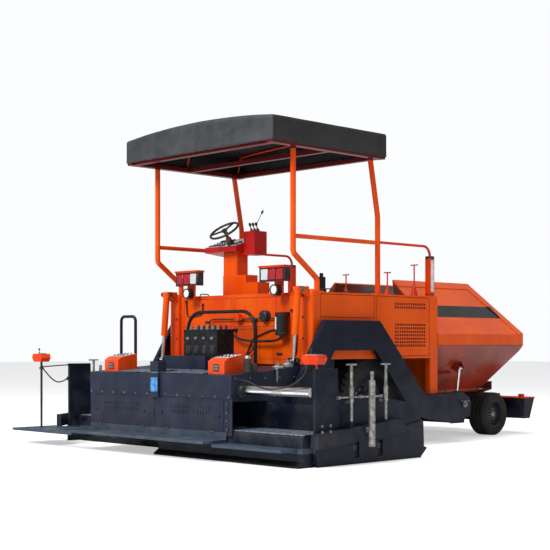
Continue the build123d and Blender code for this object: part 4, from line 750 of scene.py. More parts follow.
for s in (1, -1):
    lathe(bm, [(0.0605, -0.014), (0.0635, -0.012), (0.0635, 0.001), (0.06, 0.0035), (0.0522, 0.0035),
               (0.0522, -0.004)], (s * WORK_X, -1.69, WORK_Z), (0, -1, 0), 48)
    for k in range(9):
        rise = 0.1 * (k - 4) / 9
        reach = math.sqrt(0.0585 ** 2 - rise ** 2)
        slab(bm, (s * WORK_X - reach, -1.606, WORK_Z + rise - 0.002),
             (s * WORK_X + reach, -1.596, WORK_Z + rise + 0.002), 0)
    for x in (0.55, 0.95):
        slab(bm, (s * x - 0.011, -1.7, 1.944), (s * x + 0.011, -1.597, 2.112), 0.009)
    for x in (0.575, 0.925):
        lathe(bm, [(0.006, 0), (0.006, 0.003), (0, 0.004)], (s * x, -1.711, 2.117), (0, -1, 0), 12)
make("lamp_trims", bm, "tractor", black_plastic, (), 40)


# The operator's desk: orange sheet-metal wedge, painted crimson on its top and pod as painted shade, with a
# pale instrument plate, gauges, and a pod with three black levers; a bellows closes the foot of the steering
# column.
panel_grey, shader, place = finish("instrument plate", roughness=0.35, metallic=0.15)
rub = place.noise(35, 5).ramp(0.42, 0.66)
feed(shader, place, rub.mix((0.78, 0.8, 0.83), (0.5, 0.52, 0.55)), roughness=rub.ramp(0, 1, 0.28, 0.5),
     bump=(place.noise(260, 2), 0.08, 0.0004))
DESK_BACK, DESK_TOP = -1.24, 2.44
slope = math.atan2(0.12, 0.34)
tilt = Matrix.Rotation(slope, 4, "X")


def on_desk(x, along, rise):
    """A point over the desk's top: X, metres forward of its rear edge, metres above it."""
    return Vector((x, DESK_BACK + along * math.cos(slope) - rise * math.sin(slope),
                   DESK_TOP + along * math.sin(slope) + rise * math.cos(slope)))


def desk_slab(bm, x0, x1, a0, a1, r0, r1, edge=0.001):
    """A box on the desk's top, between places in X, along the top and above it."""
    half = Vector((x1 - x0, a1 - a0, r1 - r0)) / 2
    middle = on_desk((x0 + x1) / 2, (a0 + a1) / 2, (r0 + r1) / 2)
    slab(bm, middle - half, middle + half, edge, tilt)


bm = bmesh.new()
desk_slab(bm, -0.915, -0.365, 0.02, 0.345, 0.0, 0.003)
make("instrument_plate", bm, "tractor", panel_grey, (), 40)
bm = bmesh.new()
normal = (0, -math.sin(slope), math.cos(slope))
for x, along, r in ((-0.86, 0.26, 0.035), (-0.77, 0.27, 0.035), (-0.68, 0.28, 0.027), (-0.42, 0.25, 0.035),
                    (-0.42, 0.15, 0.027)):
    lathe(bm, [(r, 0.003), (r, 0.014), (r - 0.004, 0.018), (r - 0.005, 0.012), (0, 0.012)],
          on_desk(x, along, 0), normal, 28)
for i in range(6):
    for j in range(2):
        x, along = -0.88 + i * 0.045, 0.13 + j * 0.055
        lathe(bm, [(0.009, 0.003), (0.009, 0.007), (0.005, 0.007), (0.004, 0.022), (0, 0.023)],
              on_desk(x, along, 0), (0.2 * (i % 2), *normal[1:]), 12)
desk_slab(bm, -0.9, -0.62, 0.035, 0.09, 0.003, 0.012, 0.003)
for x in (-0.41, -0.46):
    desk_slab(bm, x - 0.018, x + 0.018, 0.05, 0.09, 0.003, 0.016, 0.003)
slab(bm, (-0.345, -1.105, 2.6195), (-0.165, -0.905, 2.6235), 0.002)
lean = (0, -0.316, 0.949)
for x in (-0.31, -0.255, -0.2):
    lathe(bm, [(0.024, 0), (0.022, 0.012), (0.015, 0.024), (0.0165, 0.03), (0.009, 0.042), (0, 0.042)],
          (x, -1.011, 2.6225), lean, 20)
    lathe(bm, [(0, -0.002), (0.01, 0), (0.0165, 0.012), (0.018, 0.026), (0.013, 0.042), (0, 0.047)],
          (x, -1.036, 2.687), lean, 24)
stem_foot, stem_lean = Vector((-0.2, -1.036, 2.705)), Vector((0.35, 0.25, 0.9))
lathe(bm, [(0, 0), (0.0045, 0), (0.0035, 0.16), (0, 0.16)], stem_foot, stem_lean, 10)
lathe(bm, [(0, 0), (0.012, 0.006), (0.014, 0.03), (0.008, 0.05), (0, 0.052)],
      stem_foot + stem_lean.normalized() * 0.14, stem_lean, 20)
axis = Vector((0, -math.sin(math.radians(35)), math.cos(math.radians(35))))
hub = Vector((-0.5, -1.3, 2.63))
ribs = [(0.047, 0.005)]
for k in range(6):
    ribs += [(0.047 - 0.002 * k, 0.008 + k * 0.015), (0.034 - 0.0015 * k, 0.0155 + k * 0.015)]
lathe(bm, [(0.034, 0), *ribs, (0.0335, 0.094)], hub - axis * 0.2, axis, 32)
make("desk_fittings", bm, "tractor", black_plastic, (), 40)
bm = bmesh.new()
lathe(bm, [(0.039, -0.009), (0.041, -0.004), (0.038, 0.012), (0.026, 0.021), (0, 0.024)], hub, axis, 32)
make("wheel_cap", bm, "steering_wheel", black_plastic, (), 40)
dress(black_plastic, "steering_wheel")


# Operator's seat: black vinyl cushion and back, swelled from foam blocks, with piping
# round the cushion, on a pedestal under a pleated cover.
vinyl, shader, place = finish("seat vinyl", roughness=0.5, Sheen_Weight=0.15)
hide, wear = place.noise(320, 3), place.noise(9, 5).ramp(0.42, 0.68)
feed(shader, place, wear.mix((0.012, 0.012, 0.013), (0.04, 0.038, 0.036)),
     roughness=wear.ramp(0, 1, 0.4, 0.62), bump=(hide, 0.4, 0.0012))
SWELL = 0.009    # the most that a pad swells, and the side of its remeshed squares


def pad(name, low, high, lean, replaces=()):
    """A foam pad: a bevelled block, remeshed, swelled by cloth pressure and shaded smooth."""
    bm = bmesh.new()
    slab(bm, low, high, 0.03, lean)
    made = make(name, bm, "tractor", vinyl, replaces)
    remesh = made.modifiers.new("remesh", "REMESH")
    remesh.mode, remesh.voxel_size = "VOXEL", SWELL
    graph = bpy.context.evaluated_depsgraph_get()
    meshed = bpy.data.meshes.new_from_object(made.evaluated_get(graph))
    made.modifiers.clear()
    made.data = meshed
    rest = [v.co.copy() for v in meshed.vertices]
    cloth = made.modifiers.new("swell", "CLOTH")
    cloth.settings.use_pressure = True
    cloth.settings.uniform_pressure_force = 4
    cloth.settings.effector_weights.gravity = 0
    cloth.settings.quality = 4
    scene = bpy.context.scene
    for step in range(1, 21):
        scene.frame_set(step)
    graph = bpy.context.evaluated_depsgraph_get()
    swelled = bpy.data.meshes.new_from_object(made.evaluated_get(graph))
    made.modifiers.clear()
    scene.frame_set(1)
    for v, start, new in zip(meshed.vertices, rest, swelled.vertices):
        move = new.co - start
        if move.length > SWELL:
            move *= SWELL / move.length
        v.co = start + move
    meshed.polygons.foreach_set("use_smooth", [True] * len(meshed.polygons))


back_lean = Matrix.Rotation(math.radians(12), 4, "X")
pad("seat_cushion", (-0.915, -0.905, 1.858), (-0.495, -0.515, 1.935), None, ("operator_seat",))
pad("seat_back", (-0.885, -0.94, 1.962), (-0.525, -0.882, 2.135), back_lean)
bm = bmesh.new()
slab(bm, (-0.92, -0.91, 1.835), (-0.49, -0.51, 1.853), 0.006)
FOLDS, FOLD = 5, 0.055
for k in range(FOLDS):
    inset, low = 0.012 + 0.01 * (k % 2), 1.56 + FOLD * k
    slab(bm, (-0.855 + inset, -0.88 + inset, low), (-0.555 - inset, -0.57 - inset, low + FOLD), 0.012)
slab(bm, (-0.87, -0.89, 1.501), (-0.54, -0.56, 1.56), 0.006)
for x in (-0.83, -0.58):
    slab(bm, (x - 0.014, -0.948, 1.85), (x + 0.014, -0.938, 2.08), 0.002)
    bolt(bm, (x, -0.948, 2.05), (0, -1, 0), 0.014, 0.008)
slab(bm, (-0.6, -0.53, 1.81), (-0.5, -0.507, 1.826), 0.005)
make("seat_pedestal", bm, "tractor", black_plastic, (), 40)
bm = bmesh.new()
ring = [(-0.9, -0.89), (-0.9, -0.53), (-0.51, -0.53), (-0.51, -0.89)]
line = []
for i, corner in enumerate(ring):
    before, after = ring[i - 1], ring[(i + 1) % 4]
    line += arc((*before, 1.897), (*corner, 1.897), (*after, 1.897), 0.035, 4)
seat_x, seat_y, outset = -0.705, -0.71, 1.07
outward = [((x - seat_x) * outset + seat_x, (y - seat_y) * outset + seat_y, z) for x, y, z in line]
rail(bm, outward + outward[:1], 0.0045, 8)
make("seat_piping", bm, "tractor", seam_black, (), 60)


# Canopy: one sheet of black coated fabric over three bows, its sides drawn down round the red frame to a
# corded hem, flat at the welded corners and creased between them; its rear drop is painted darker than its
# top and sides as painted shade.
sheet_black, shader, place = finish("coated fabric", roughness=0.42, Sheen_Weight=0.05,
                                    Specular_IOR_Level=0.4)
weave = place.wave(260, "X") * 0.5 + place.wave(260, "Z") * 0.5
cloud = (place.noise(2.2, 6) * 0.6 + place.noise(9, 6) * 0.4).ramp(0.4, 0.62)
# painted shade: the rear drop of the sheet is painted near-black, the top and sides a lighter grey
shaded_rear_drop = place.along(1) < -2.19
feed(shader, place, shaded_rear_drop.mix(cloud.mix((0.006, 0.006, 0.007), (0.016, 0.016, 0.018)),
                             cloud.mix((0.024, 0.025, 0.028), (0.038, 0.039, 0.043))),
     roughness=cloud.ramp(0, 1, 0.34, 0.55), bump=(weave * 0.25 + place.noise(6, 6), 0.35, 0.006))
HALF, REAR, FRONT, RIM, CORNER, CROWN = 1.288, -2.204, -0.326, 3.448, 3.725, 3.797
COLUMNS, ROWS, FALL = 60, 48, 12    # squares across, along and down the sides
CORNER_REACH = 0.12                 # how far a corner holds the sides flat
shake = random.Random(7)
waves = [(shake.uniform(3, 9), shake.uniform(2, 7), shake.uniform(0, 6.28)) for _ in range(6)]


def ripple(along, down):
    """Slack in the fabric, between -1 and 1."""
    return sum(math.sin(a * along + b * down + c) for a, b, c in waves) / len(waves)


def crown(t):
    """Rise of a bow over the corners, where t runs from -1 to 1 across."""
    return (CROWN - CORNER) * (1 - t * t)


bm = bmesh.new()
spread = [-1 + 2 * i / COLUMNS for i in range(COLUMNS + 1)]
top = []
for along in (j / ROWS for j in range(ROWS + 1)):
    y = REAR + 0.012 + along * (FRONT - REAR - 0.024)
    between = abs(math.sin(math.pi * along * 2))
    top.append([bm.verts.new((t * (HALF - 0.01), y, CORNER + crown(t) - 0.006
                              - 0.016 * between * (1 - t ** 4) + 0.002 * ripple(t * 3, along * 4)))
                for t in spread])
for j in range(ROWS):
    for i in range(COLUMNS):
        bm.faces.new((top[j][i], top[j][i + 1], top[j + 1][i + 1], top[j + 1][i]))
edge = ([(top[0][i], 0, -1) for i in range(COLUMNS)] + [(top[j][COLUMNS], 1, 0) for j in range(ROWS)]
        + [(top[ROWS][i], 0, 1) for i in range(COLUMNS, 0, -1)]
        + [(top[j][0], -1, 0) for j in range(ROWS, 0, -1)])
before = [v for v, _, _ in edge]
for k in range(1, FALL + 1):
    share = k / FALL
    ring = []
    for v, nx, ny in edge:
        x, y, z = v.co
        to_side, to_end = HALF - abs(x), min(y - REAR, FRONT - y)
        near = max(to_side, to_end) < CORNER_REACH
        corner = max(0.0, 1 - min(to_side, to_end) / CORNER_REACH) if near else 0
        walk = y if nx else x
        crease = 0.0075 * ripple(walk * (2.4 if nx else 3.1), share * 3.2)
        pull = 0.011 * math.sin(math.pi * share) * (1 - corner)
        low = RIM + 0.004 * ripple(walk * 5, 1)
        out = 0.01 - pull + crease * math.sin(math.pi * min(1, share * 1.15)) * (1 - corner) * 0.7
        reach = Vector((x, y, z + (low - z) * share))
        if nx or abs(x) > HALF - 0.011:
            reach.x = math.copysign(HALF - 0.01 + out, x)
        if ny or to_end < 0.0125:
            reach.y = (REAR + 0.01 - out) if y < -1.2 else (FRONT - 0.01 + out)
        ring.append(bm.verts.new(reach))
    for n in range(len(ring)):
        m = (n + 1) % len(ring)
        bm.faces.new((before[n], before[m], ring[m], ring[n]))
    before = ring
cover = make("canopy_sheet", bm, "tractor", sheet_black, ("canopy_cover",), 50)
solid = cover.modifiers.new("thickness", "SOLIDIFY")
solid.thickness, solid.offset = 0.0025, -1

bm = bmesh.new()
HEM_STEPS, HEM_IN = 40, 0.0035
rim = ((-HALF, REAR), (HALF, REAR), (HALF, FRONT), (-HALF, FRONT), (-HALF, REAR))
for n, ((x0, y0), (x1, y1)) in enumerate(zip(rim, rim[1:])):
    inward = Vector((-(x0 + x1), (REAR + FRONT) - (y0 + y1), 0)).normalized() * HEM_IN
    points = []
    for i in range(HEM_STEPS + 1):
        at = Vector((x0, y0, RIM + 0.003)).lerp(Vector((x1, y1, RIM + 0.003)), i / HEM_STEPS)
        slack = ripple((at.y if n % 2 else at.x) * 5, 1)
        points.append(at + inward + Vector((0, 0, 0.0035 * slack)))
    rail(bm, points, 0.005, 8)
make("canopy_hem", bm, "tractor", seam_black, (), 60)
bm = bmesh.new()
BOW_HALF, BOW_FOOT = 1.262, 3.46
for y in (-2.15, -1.26, -0.38):
    rail(bm, [(t * BOW_HALF, y, BOW_FOOT + (CORNER - BOW_FOOT - 0.02) * min(1, (1 - abs(t)) / 0.02)
               + crown(t) * 0.9 - 0.016) for t in (-1 + i / 20 for i in range(41))], 0.012, 10)
make("canopy_bows", bm, "tractor", frame_red, (), 50)


# Screed fittings: bolts along the housing, latches and hinges on the doors, rings round
# the guide tubes and the hoops' feet, and clamps, chain and motor on the right edge.
def deck_height(y):
    """Top of the sloping deck."""
    return DECK_LOW + DECK_SLOPE * (y - DECK_REAR)


on_deck = (0, -0.071, 1)
bm = bmesh.new()
for s in (1, -1):
    for i in range(6):
        bolt(bm, (s * (0.16 + 0.21 * i), DECK_REAR, 0.676), (0, -1, 0), 0.016, 0.008)
for z in (0.33, 0.42, 0.51, 0.6):
    bolt(bm, (1.176, -2.771, z), (0, -1, 0), 0.014, 0.007)
PIN_CAP = [(0.03, 0), (0.03, 0.006), (0.012, 0.008), (0, 0.008)]
for s in (1, -1):
    for y in (-2.72, -2.5, -2.28, -2.06, -1.84, -1.7):
        bolt(bm, (s * SIDE, y, 0.87), (s, 0, 0), 0.018, 0.009)
    for x in (0.25, 0.5, 0.72):
        for y in (-2.72, -2.48):
            lathe(bm, [(0.011, 0), (0.01, 0.004), (0.006, 0.005), (0, 0.005)],
                  (s * x, y, deck_height(y) + 0.012), on_deck, 14)
    # pins of the lift cylinder's lower and upper ears
    for way in (-1, 1):
        for y, z in ((-1.75, 1.045), (-1.68, 1.85)):
            lathe(bm, PIN_CAP, (s * (1.15 + way * 0.075), y, z), (way * s, 0, 0), 24)
for x0, x1 in ((-1.24, -0.038), (0.025, 1.123)):
    for share in (0.16, 0.84):
        lathe(bm, [(0, -0.035), (0.008, -0.035), (0.008, 0.035), (0, 0.035)],
              (x0 + (x1 - x0) * share, -2.777, 0.301), (1, 0, 0), 14)
make("screed_bolts", bm, "screed", bolt_steel, (), 40)
bm = bmesh.new()
for x in (-1.104, -0.218, 0.099, 1.048):
    lathe(bm, [(0.012, 0), (0.012, 0.006), (0.009, 0.01), (0, 0.01)], (x, DECK_REAR, 0.475), (0, -1, 0), 20)
    slab(bm, (x - 0.003, -2.7875, 0.466), (x + 0.003, -2.784, 0.484), 0.0005)
make("door_latches", bm, "screed", black_plastic, (), 40)
bm = bmesh.new()
for s, y, z in ((1, -2.614, 0.748), (-1, -2.0, 0.783)):
    lathe(bm, [(0.0506, 0), (0.082, 0), (0.082, 0.01), (0.066, 0.014), (0.06, 0.026), (0.0506, 0.026)],
          (s * SIDE, y, z), (s, 0, 0), 48)
    for i in range(6):
        a = math.pi * i / 3
        bolt(bm, (s * (SIDE + 0.01), y + 0.073 * math.cos(a), z + 0.073 * math.sin(a)), (s, 0, 0),
             0.01, 0.006)
for x, y in ((-1.2, -2.35), (-0.92, -2.35), (-0.54, -1.85), (0.64, -1.85)):
    lathe(bm, [(0.021, 0), (0.042, 0), (0.042, 0.008), (0.025, 0.01), (0.0212, 0.02)],
          (x, y, deck_height(y) + 0.001), on_deck, 28)
    for i in range(4):
        a = math.pi * (i + 0.5) / 2
        along, up = x + 0.033 * math.cos(a), y + 0.033 * math.sin(a)
        bolt(bm, (along, up, deck_height(up) + 0.008), on_deck, 0.009, 0.006)
make("scraper_rings", bm, "screed", grille_black, (), 40)
plate_blue, shader, place = finish("blank blue plate", roughness=0.3, Coat_Weight=0.4)
fade = place.noise(22, 5).ramp(0.4, 0.66)
feed(shader, place, fade.mix((0.02, 0.17, 0.46), (0.1, 0.3, 0.56)), roughness=fade.ramp(0, 1, 0.22, 0.42),
     bump=(place.noise(150, 2), 0.06, 0.0004))
bm = bmesh.new()
slab(bm, (-0.06, -2.8075, 0.703), (0.06, -2.805, 0.86), 0.001)
make("crown_plate", bm, "screed", plate_blue, (), 40)

zinc, shader, place = finish("zinc plate", roughness=0.35, metallic=0.85)
bloom = place.noise(28, 6).ramp(0.4, 0.66)
feed(shader, place, bloom.mix((0.5, 0.49, 0.47), (0.24, 0.23, 0.215)), roughness=bloom.ramp(0, 1, 0.28, 0.55),
     bump=(place.noise(180, 3), 0.15, 0.0006))
bm = bmesh.new()
for y0, y1, high in ((-2.1, -1.98, 0.035), (-1.95, -1.83, 0.05)):
    low = deck_height(y1)
    slab(bm, (1.165, y0, low), (1.235, y1, low + high), 0.008)
    lathe(bm, [(0.02, 0), (0.02, 0.02), (0.012, 0.026), (0.012, 0.04), (0, 0.04)],
          (1.2, (y0 + y1) / 2, low + high), (0, 0, 1), 20)
    for y in (y0 + 0.018, y1 - 0.018):
        bolt(bm, (1.2, y, low + high), (0, 0, 1), 0.014, 0.01)
LINKS, LINK_STEP = 5, 0.026
slab(bm, (1.25, -2.14, 0.955), (1.262, -2.09, 0.985), 0.003)
for k in range(LINKS):
    quarter = Matrix.Rotation(math.radians(90 * (k % 2)), 4, "Z")
    middle = Vector((1.268, -2.115, 0.943 - LINK_STEP * k))
    rail(bm, [middle + quarter @ Vector((0, 0.009 * math.cos(a), 0.018 * math.sin(a)))
              for a in (2 * math.pi * i / 12 for i in range(13))], 0.0032, 6)
make("edge_clamps", bm, "screed", zinc, (), 40)
bm = bmesh.new()
x, y, z = 1.18, -2.47, deck_height(-2.47)
lathe(bm, [(0, 0), (0.05, 0), (0.05, 0.012), (0.038, 0.016), (0.038, 0.15), (0, 0.15)],
      (x, y, z + 0.002), (0, 0, 1), 28)
slab(bm, (x - 0.04, y + 0.035, z + 0.003), (x + 0.04, y + 0.1, z + 0.1), 0.006)
make("crown_motor", bm, "screed", grille_black, (), 40)
bm = bmesh.new()
lathe(bm, [(0.0395, 0), (0.0395, 0.008), (0.03, 0.03), (0.016, 0.036), (0, 0.036)], (x, y, z + 0.151),
      (0, 0, 1), 28)
make("crown_motor_cap", bm, "screed", zinc, (), 40)


# Control boxes on the screed: red-orange steel boxes with pale switch plates, a black
# display on the rear face, and a black valve block with hose ends between them.
box_paint_red, shader, place = enamel("control box red", (0.8, 0.075, 0.008), RED_DEEP, 0.32, 0.15)
block = abs(place.along(0)) < 0.6
recolour(place, shader, block,
         place.noise(14, 5).ramp(0.45, 0.75).mix((0.008, 0.009, 0.012), (0.024, 0.025, 0.03)))
dress(box_paint_red, "screed_controls")
tip = math.atan2(0.035, 0.22)
KNOB = [(0.013, 0), (0.013, 0.008), (0.01, 0.012), (0, 0.012)]
TOGGLE = [(0.009, 0), (0.009, 0.004), (0.0045, 0.005), (0.0035, 0.018), (0, 0.019)]
bm, knobs, gauges = bmesh.new(), bmesh.new(), bmesh.new()
for s in (1, -1):
    x = s * 0.93
    middle = Vector((x, -2.53, 1.1025))
    slab(bm, middle + Vector((-0.118, -0.1, 0.0005)), middle + Vector((0.118, 0.1, 0.003)), 0.001,
         Matrix.Rotation(tip, 4, "X"))
    up = Vector((0, -math.sin(tip), math.cos(tip)))
    row = Vector((0, math.cos(tip), math.sin(tip))) * 0.058
    for i in range(4):
        for j in range(3):
            at = middle + Vector(((i - 1.5) * 0.055, 0, 0)) + row * (j - 1) + up * 0.003
            lathe(knobs, TOGGLE if j else KNOB, at, up + Vector((0, 0.25 * (i % 2) * (j > 0), 0)), 14)
    slab(knobs, (x - 0.05, -2.7035, 0.94), (x + 0.05, -2.6995, 1.02), 0.002)
    for i in range(3):
        for j in range(2):
            left, low = x - 0.036 + 0.026 * i, 0.955 + 0.03 * j
            slab(gauges, (left, -2.706, low), (left + 0.018, -2.7034, low + 0.018), 0.002)
    for dx in (-0.118, 0.118):
        for z in (0.93, 1.035):
            lathe(gauges, [(0.006, 0), (0.006, 0.002), (0, 0.003)], (x + dx, -2.7, z), (0, -1, 0), 12)
for i in range(6):
    x = -0.13 + 0.095 * i
    lathe(gauges, [(0.022, 0), (0.022, 0.012), (0.014, 0.016), (0.014, 0.036), (0.009, 0.04), (0, 0.04)],
          (x, -2.15, 1.4), (0, 0, 1), 6)
    lathe(knobs, [(0.016, 0), (0.016, 0.03), (0.011, 0.034), (0.011, 0.052), (0, 0.055)],
          (x, -2.03, 1.4), (0, 0, 1), 20)
for i in range(4):
    x = -0.1 + 0.14 * i
    lathe(gauges, [(0.018, 0), (0.018, 0.01), (0.012, 0.012), (0.012, 0.024), (0, 0.026)],
          (x, -2.22, 1.3), (0, -1, 0), 6)
    slab(knobs, (x - 0.035, -2.226, 1.12), (x + 0.035, -2.2198, 1.22), 0.003)
make("switch_plates", bm, "screed", panel_grey, (), 40)
make("switches", knobs, "screed", black_plastic, (), 40)
make("box_fittings", gauges, "screed", zinc, (), 40)


# Hand controls: red housings on a post at each end of the screed, each under a pale
# top plate that carries a black joystick and six push buttons.
remote_red, shader, place = enamel("remote red", (0.78, 0.06, 0.008), RED_DEEP, 0.3, 0.1)
recolour(place, shader, (place.along(2) < 1.0045) * (place.along(0) < -2.0),
         place.noise(30, 4).ramp(0.4, 0.66).mix((0.016, 0.018, 0.026), (0.05, 0.05, 0.055)))
dress(remote_red, "left_remote", "right_remote")
for side, x, y, top in (("left", -2.3, -2.765, 1.11), ("right", 2.259, -2.565, 1.125)):
    bm, knobs = bmesh.new(), bmesh.new()
    slab(bm, (x - 0.08, y - 0.055, top), (x + 0.08, y + 0.055, top + 0.003), 0.001)
    lathe(knobs, [(0.017, 0), (0.015, 0.006), (0.007, 0.012), (0.004, 0.016), (0.004, 0.04), (0.011, 0.046),
                  (0.0125, 0.056), (0.008, 0.066), (0, 0.068)],
          (x - 0.045, y, top + 0.003), (0.1, -0.1, 1), 20)
    for i in range(3):
        for j in range(2):
            lathe(knobs, [(0.009, 0), (0.009, 0.005), (0.007, 0.007), (0, 0.007)],
                  (x + 0.028 * i, y - 0.02 + 0.04 * j, top + 0.003), (0, 0, 1), 16)
    make(f"{side}_remote_plate", bm, f"{side}_screed_box", panel_grey, (), 40)
    make(f"{side}_remote_knobs", knobs, f"{side}_screed_box", black_plastic, (), 40)


# Strain reliefs: short tapered rubber sleeves where the leads leave their housings and
# go into the screed's wall, the end plate and the rear wall; the hose's are wider.
SLEEVE = [(0.015, 0), (0.015, 0.006), (0.0118, 0.009), (0.0112, 0.02), (0.0096, 0.034), (0.0083, 0.045),
          (0.0079, 0.045)]
for name, body, at, axis, wider, longer in (
        ("right_remote_gland", "right_screed_box", (2.2, -2.612, 1.0295), (0, 0, -1), 1, 1),
        ("screed_gland", "screed", (1.2505, -2.7, 0.86), (1, 0, 0), 1, 1),
        ("left_plate_gland", "left_screed_box", (-2.285, -2.369, 0.813), (0, -0.5, -0.87), 1, 1),
        ("hose_gland", "tractor", (-0.06, -1.5003, 1.4), (0, -1, 0), 1.8, 0.99),
        ("filter_gland", "tractor", (FILTER_X, FILTER_Y, 1.3307), (0, 0, -1), 1.8, 0.99)):
    bm = bmesh.new()
    lathe(bm, [(radius * wider, along * longer) for radius, along in SLEEVE], at, axis, 28)
    make(name, bm, body, black_plastic, (), 40)
bm = bmesh.new()
lathe(bm, [(0.0265, -0.016), (0.0265, 0.016), (0.0155, 0.018), (0.0142, -0.018)], (-2.3, -2.764, 0.93),
      (0, 0, 1), 28)
make("post_collar", bm, "left_screed_box", black_plastic, (), 40)


# End plates and tow arms: the bolt heads that hold each gate bar, and a cap with two
# bolts over each tow pin, all of bare steel with a brown stain.
for side, s, shift in (("right", 1, 0.0), ("left", -1, 0.54)):
    bm = bmesh.new()
    for y in (-2.62, -2.5):
        for z in (0.36, 0.42):
            bolt(bm, (s * 2.42, y + shift, z), (s, 0, 0), 0.022, 0.012)
    make(f"{side}_gate_bolts", bm, f"{side}_screed_box", bolt_steel, (), 40)
TOW_X, TOW_Y, TOW_Z = 1.372, 1.09, 0.48
for side, s in (("right", 1), ("left", -1)):
    bm = bmesh.new()
    lathe(bm, [(0.045, 0), (0.045, 0.008), (0.032, 0.014), (0.032, 0.022), (0, 0.024)],
          (s * TOW_X, TOW_Y, TOW_Z), (s, 0, 0), 28)
    for a in (0.5, 2.6):
        bolt(bm, (s * TOW_X, TOW_Y + 0.075 * math.cos(a), TOW_Z + 0.075 * math.sin(a)), (s, 0, 0),
             0.02, 0.012)
    make(f"{side}_tow_pin_cap", bm, "screed", bolt_steel, (), 40)


# Stay of the left hand control and the levelling rods: round black bar from the post
# to the end plate, and a bright rod in ears along the top of each gate bar.
bm = bmesh.new()
rail(bm, [(-2.3, -2.752, 0.946), (-2.296, -2.66, 0.953), (-2.287, -2.368, 0.968)], 0.0075)
for at, along in (((-2.3, -2.7535, 0.946), (0, 1, 0)), ((-2.287, -2.368, 0.968), (0, -1, 0))):
    lathe(bm, [(0, 0), (0.015, 0), (0.015, 0.006), (0.0085, 0.01), (0.0075, 0.01)], at, along, 16)
make("control_stay", bm, "left_screed_box", black_plastic, (), 40)
ROD_X, ROD_Z = 2.36, 0.69
for side, s, shift in (("right", 1, 0.0), ("left", -1, 0.23)):
    bm = bmesh.new()
    rail(bm, [(s * ROD_X, y + shift, ROD_Z) for y in (-2.32, -1.99, -1.66)], 0.009)
    for y in (-2.315, -1.99, -1.665):
        lathe(bm, [(0.0092, -0.012), (0.017, -0.012), (0.017, 0.012), (0.0092, 0.012)],
              (s * ROD_X, y + shift, ROD_Z), (0, 1, 0), 18)
    make(f"{side}_level_rod", bm, f"{side}_screed_box", zinc, (), 40)


# Pipes on the rear wall: black steel lines in clips, one with a small orange valve
# body, that run between the filter, the corner posts and the sheet below.
bm = bmesh.new()
PIPES = (((-0.97, 1.76), (-0.95, 1.56), (-0.66, 1.6), (-0.66, 1.72)),
         ((-0.5, 1.08), (-0.5, 1.53), (0.66, 1.53), (0.7, 1.46)),
         ((0.12, 1.08), (0.24, 1.3), (0.56, 1.4), (0.7, 1.4)),
         ((0.3, 1.53), (0.3, 1.2), (0.16, 1.08)),
         ((0.88, 1.62), (0.98, 1.55), (0.96, 1.12), (0.9, 1.07)))
for k, route in enumerate(PIPES):
    y = WALL - 0.016 - 0.02 * (k % 2)
    points = [(x, y, z) for x, z in route]
    line = points[:1]
    for before, corner, after in zip(points, points[1:], points[2:]):
        line += arc(before, corner, after, 0.06, 6)
    rail(bm, [*line, points[-1]], 0.0085, 10)
    for (x, _, z), (x1, _, z1) in ((points[0], points[1]), (points[-1], points[-2])):
        lathe(bm, [(0, -0.004), (0.016, -0.004), (0.016, 0.014), (0.011, 0.018), (0.0085, 0.018)], (x, y, z),
              (x1 - x, 0, z1 - z), 6)
        slab(bm, (x - 0.012, y - 0.01, z - 0.012), (x + 0.012, WALL, z + 0.012), 0.003)
make("wall_pipes", bm, "tractor", grab_black, (), 50)
bm = bmesh.new()
VALVE_X, VALVE_Z, VALVE_Y = 0.02, 1.53, WALL - 0.036
slab(bm, (VALVE_X - 0.04, WALL - 0.075, VALVE_Z - 0.03), (VALVE_X + 0.04, WALL, VALVE_Z + 0.03), 0.006)
for way in (-1, 1):
    lathe(bm, [(0, 0), (0.02, 0), (0.02, 0.022), (0.013, 0.028), (0, 0.028)],
          (VALVE_X + way * 0.04, VALVE_Y, VALVE_Z), (way, 0, 0), 6)
lathe(bm, [(0, 0), (0.022, 0), (0.022, 0.03), (0.012, 0.036), (0, 0.036)],
      (VALVE_X, VALVE_Y, VALVE_Z + 0.03), (0, 0, 1), 16)
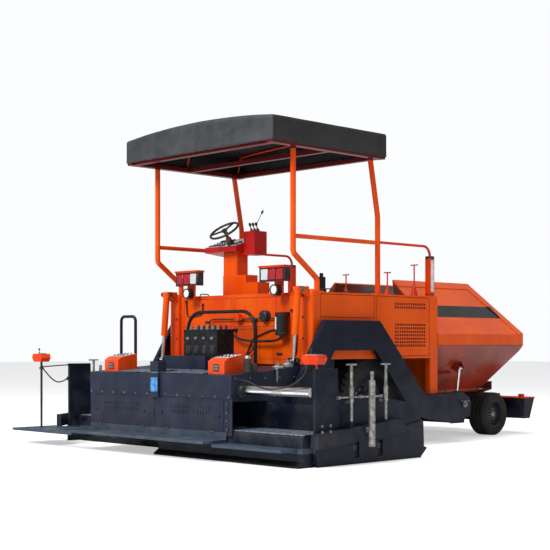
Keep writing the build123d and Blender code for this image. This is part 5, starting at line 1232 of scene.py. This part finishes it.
make("wall_valve", bm, "tractor", frame_red, (), 40)


# Studio: a plain pale floor under a plain white sky, both brighter to the camera than
# they light the machine, and soft light from three large lamps out of view.
FLOOR_REACH, SKY_LIGHT = 60, 0.42
floor_grey, shader, place = finish("floor grey", roughness=0.8)
feed(shader, place, place.noise(0.6, 3).ramp(0.3, 0.7).mix((0.86, 0.86, 0.86), (0.9, 0.9, 0.9)))
seen = place.node("ShaderNodeLightPath")
glow = Socket(place.tree, seen.outputs["Is Camera Ray"]).mix((0, 0, 0), (1, 1, 1))
place.tree.links.new(glow.out, shader.inputs["Emission Color"])
shader.inputs["Emission Strength"].default_value = 0.45
mesh = bpy.data.meshes.new("floor")
corners = ((-1, -1), (1, -1), (1, 1), (-1, 1))
mesh.from_pydata([(a * FLOOR_REACH, b * FLOOR_REACH, -0.002) for a, b in corners], [], [(0, 1, 2, 3)])
mesh.materials.append(floor_grey)
floor = bpy.data.objects.new("floor", mesh)
bpy.context.scene.collection.objects.link(floor)
world = bpy.data.worlds.new("studio")
world.use_nodes = True
sky = world.node_tree.nodes["Background"]
sky.inputs["Color"].default_value = (0.97, 0.98, 1.0, 1)
seen = world.node_tree.nodes.new("ShaderNodeLightPath")
level = world.node_tree.nodes.new("ShaderNodeMapRange")
level.inputs["To Min"].default_value, level.inputs["To Max"].default_value = SKY_LIGHT, 1.0
world.node_tree.links.new(seen.outputs["Is Camera Ray"], level.inputs["Value"])
world.node_tree.links.new(level.outputs["Result"], sky.inputs["Strength"])
bpy.context.scene.world = world
bpy.context.scene.view_settings.view_transform = "Standard"
for name, at, size, power in (("key", (1, -13, 10), 5, 1900), ("fill", (12, -3, 7), 8, 100),
                              ("top", (0, 0, 12), 10, 950)):
    light = bpy.data.lights.new(name, "AREA")
    light.size, light.energy = size, power
    lamp = bpy.data.objects.new(name, light)
    lamp.location = at
    lamp.rotation_euler = (Vector((0, 0, 1)) - Vector(at)).to_track_quat("-Z", "Y").to_euler()
    bpy.context.scene.collection.objects.link(lamp)
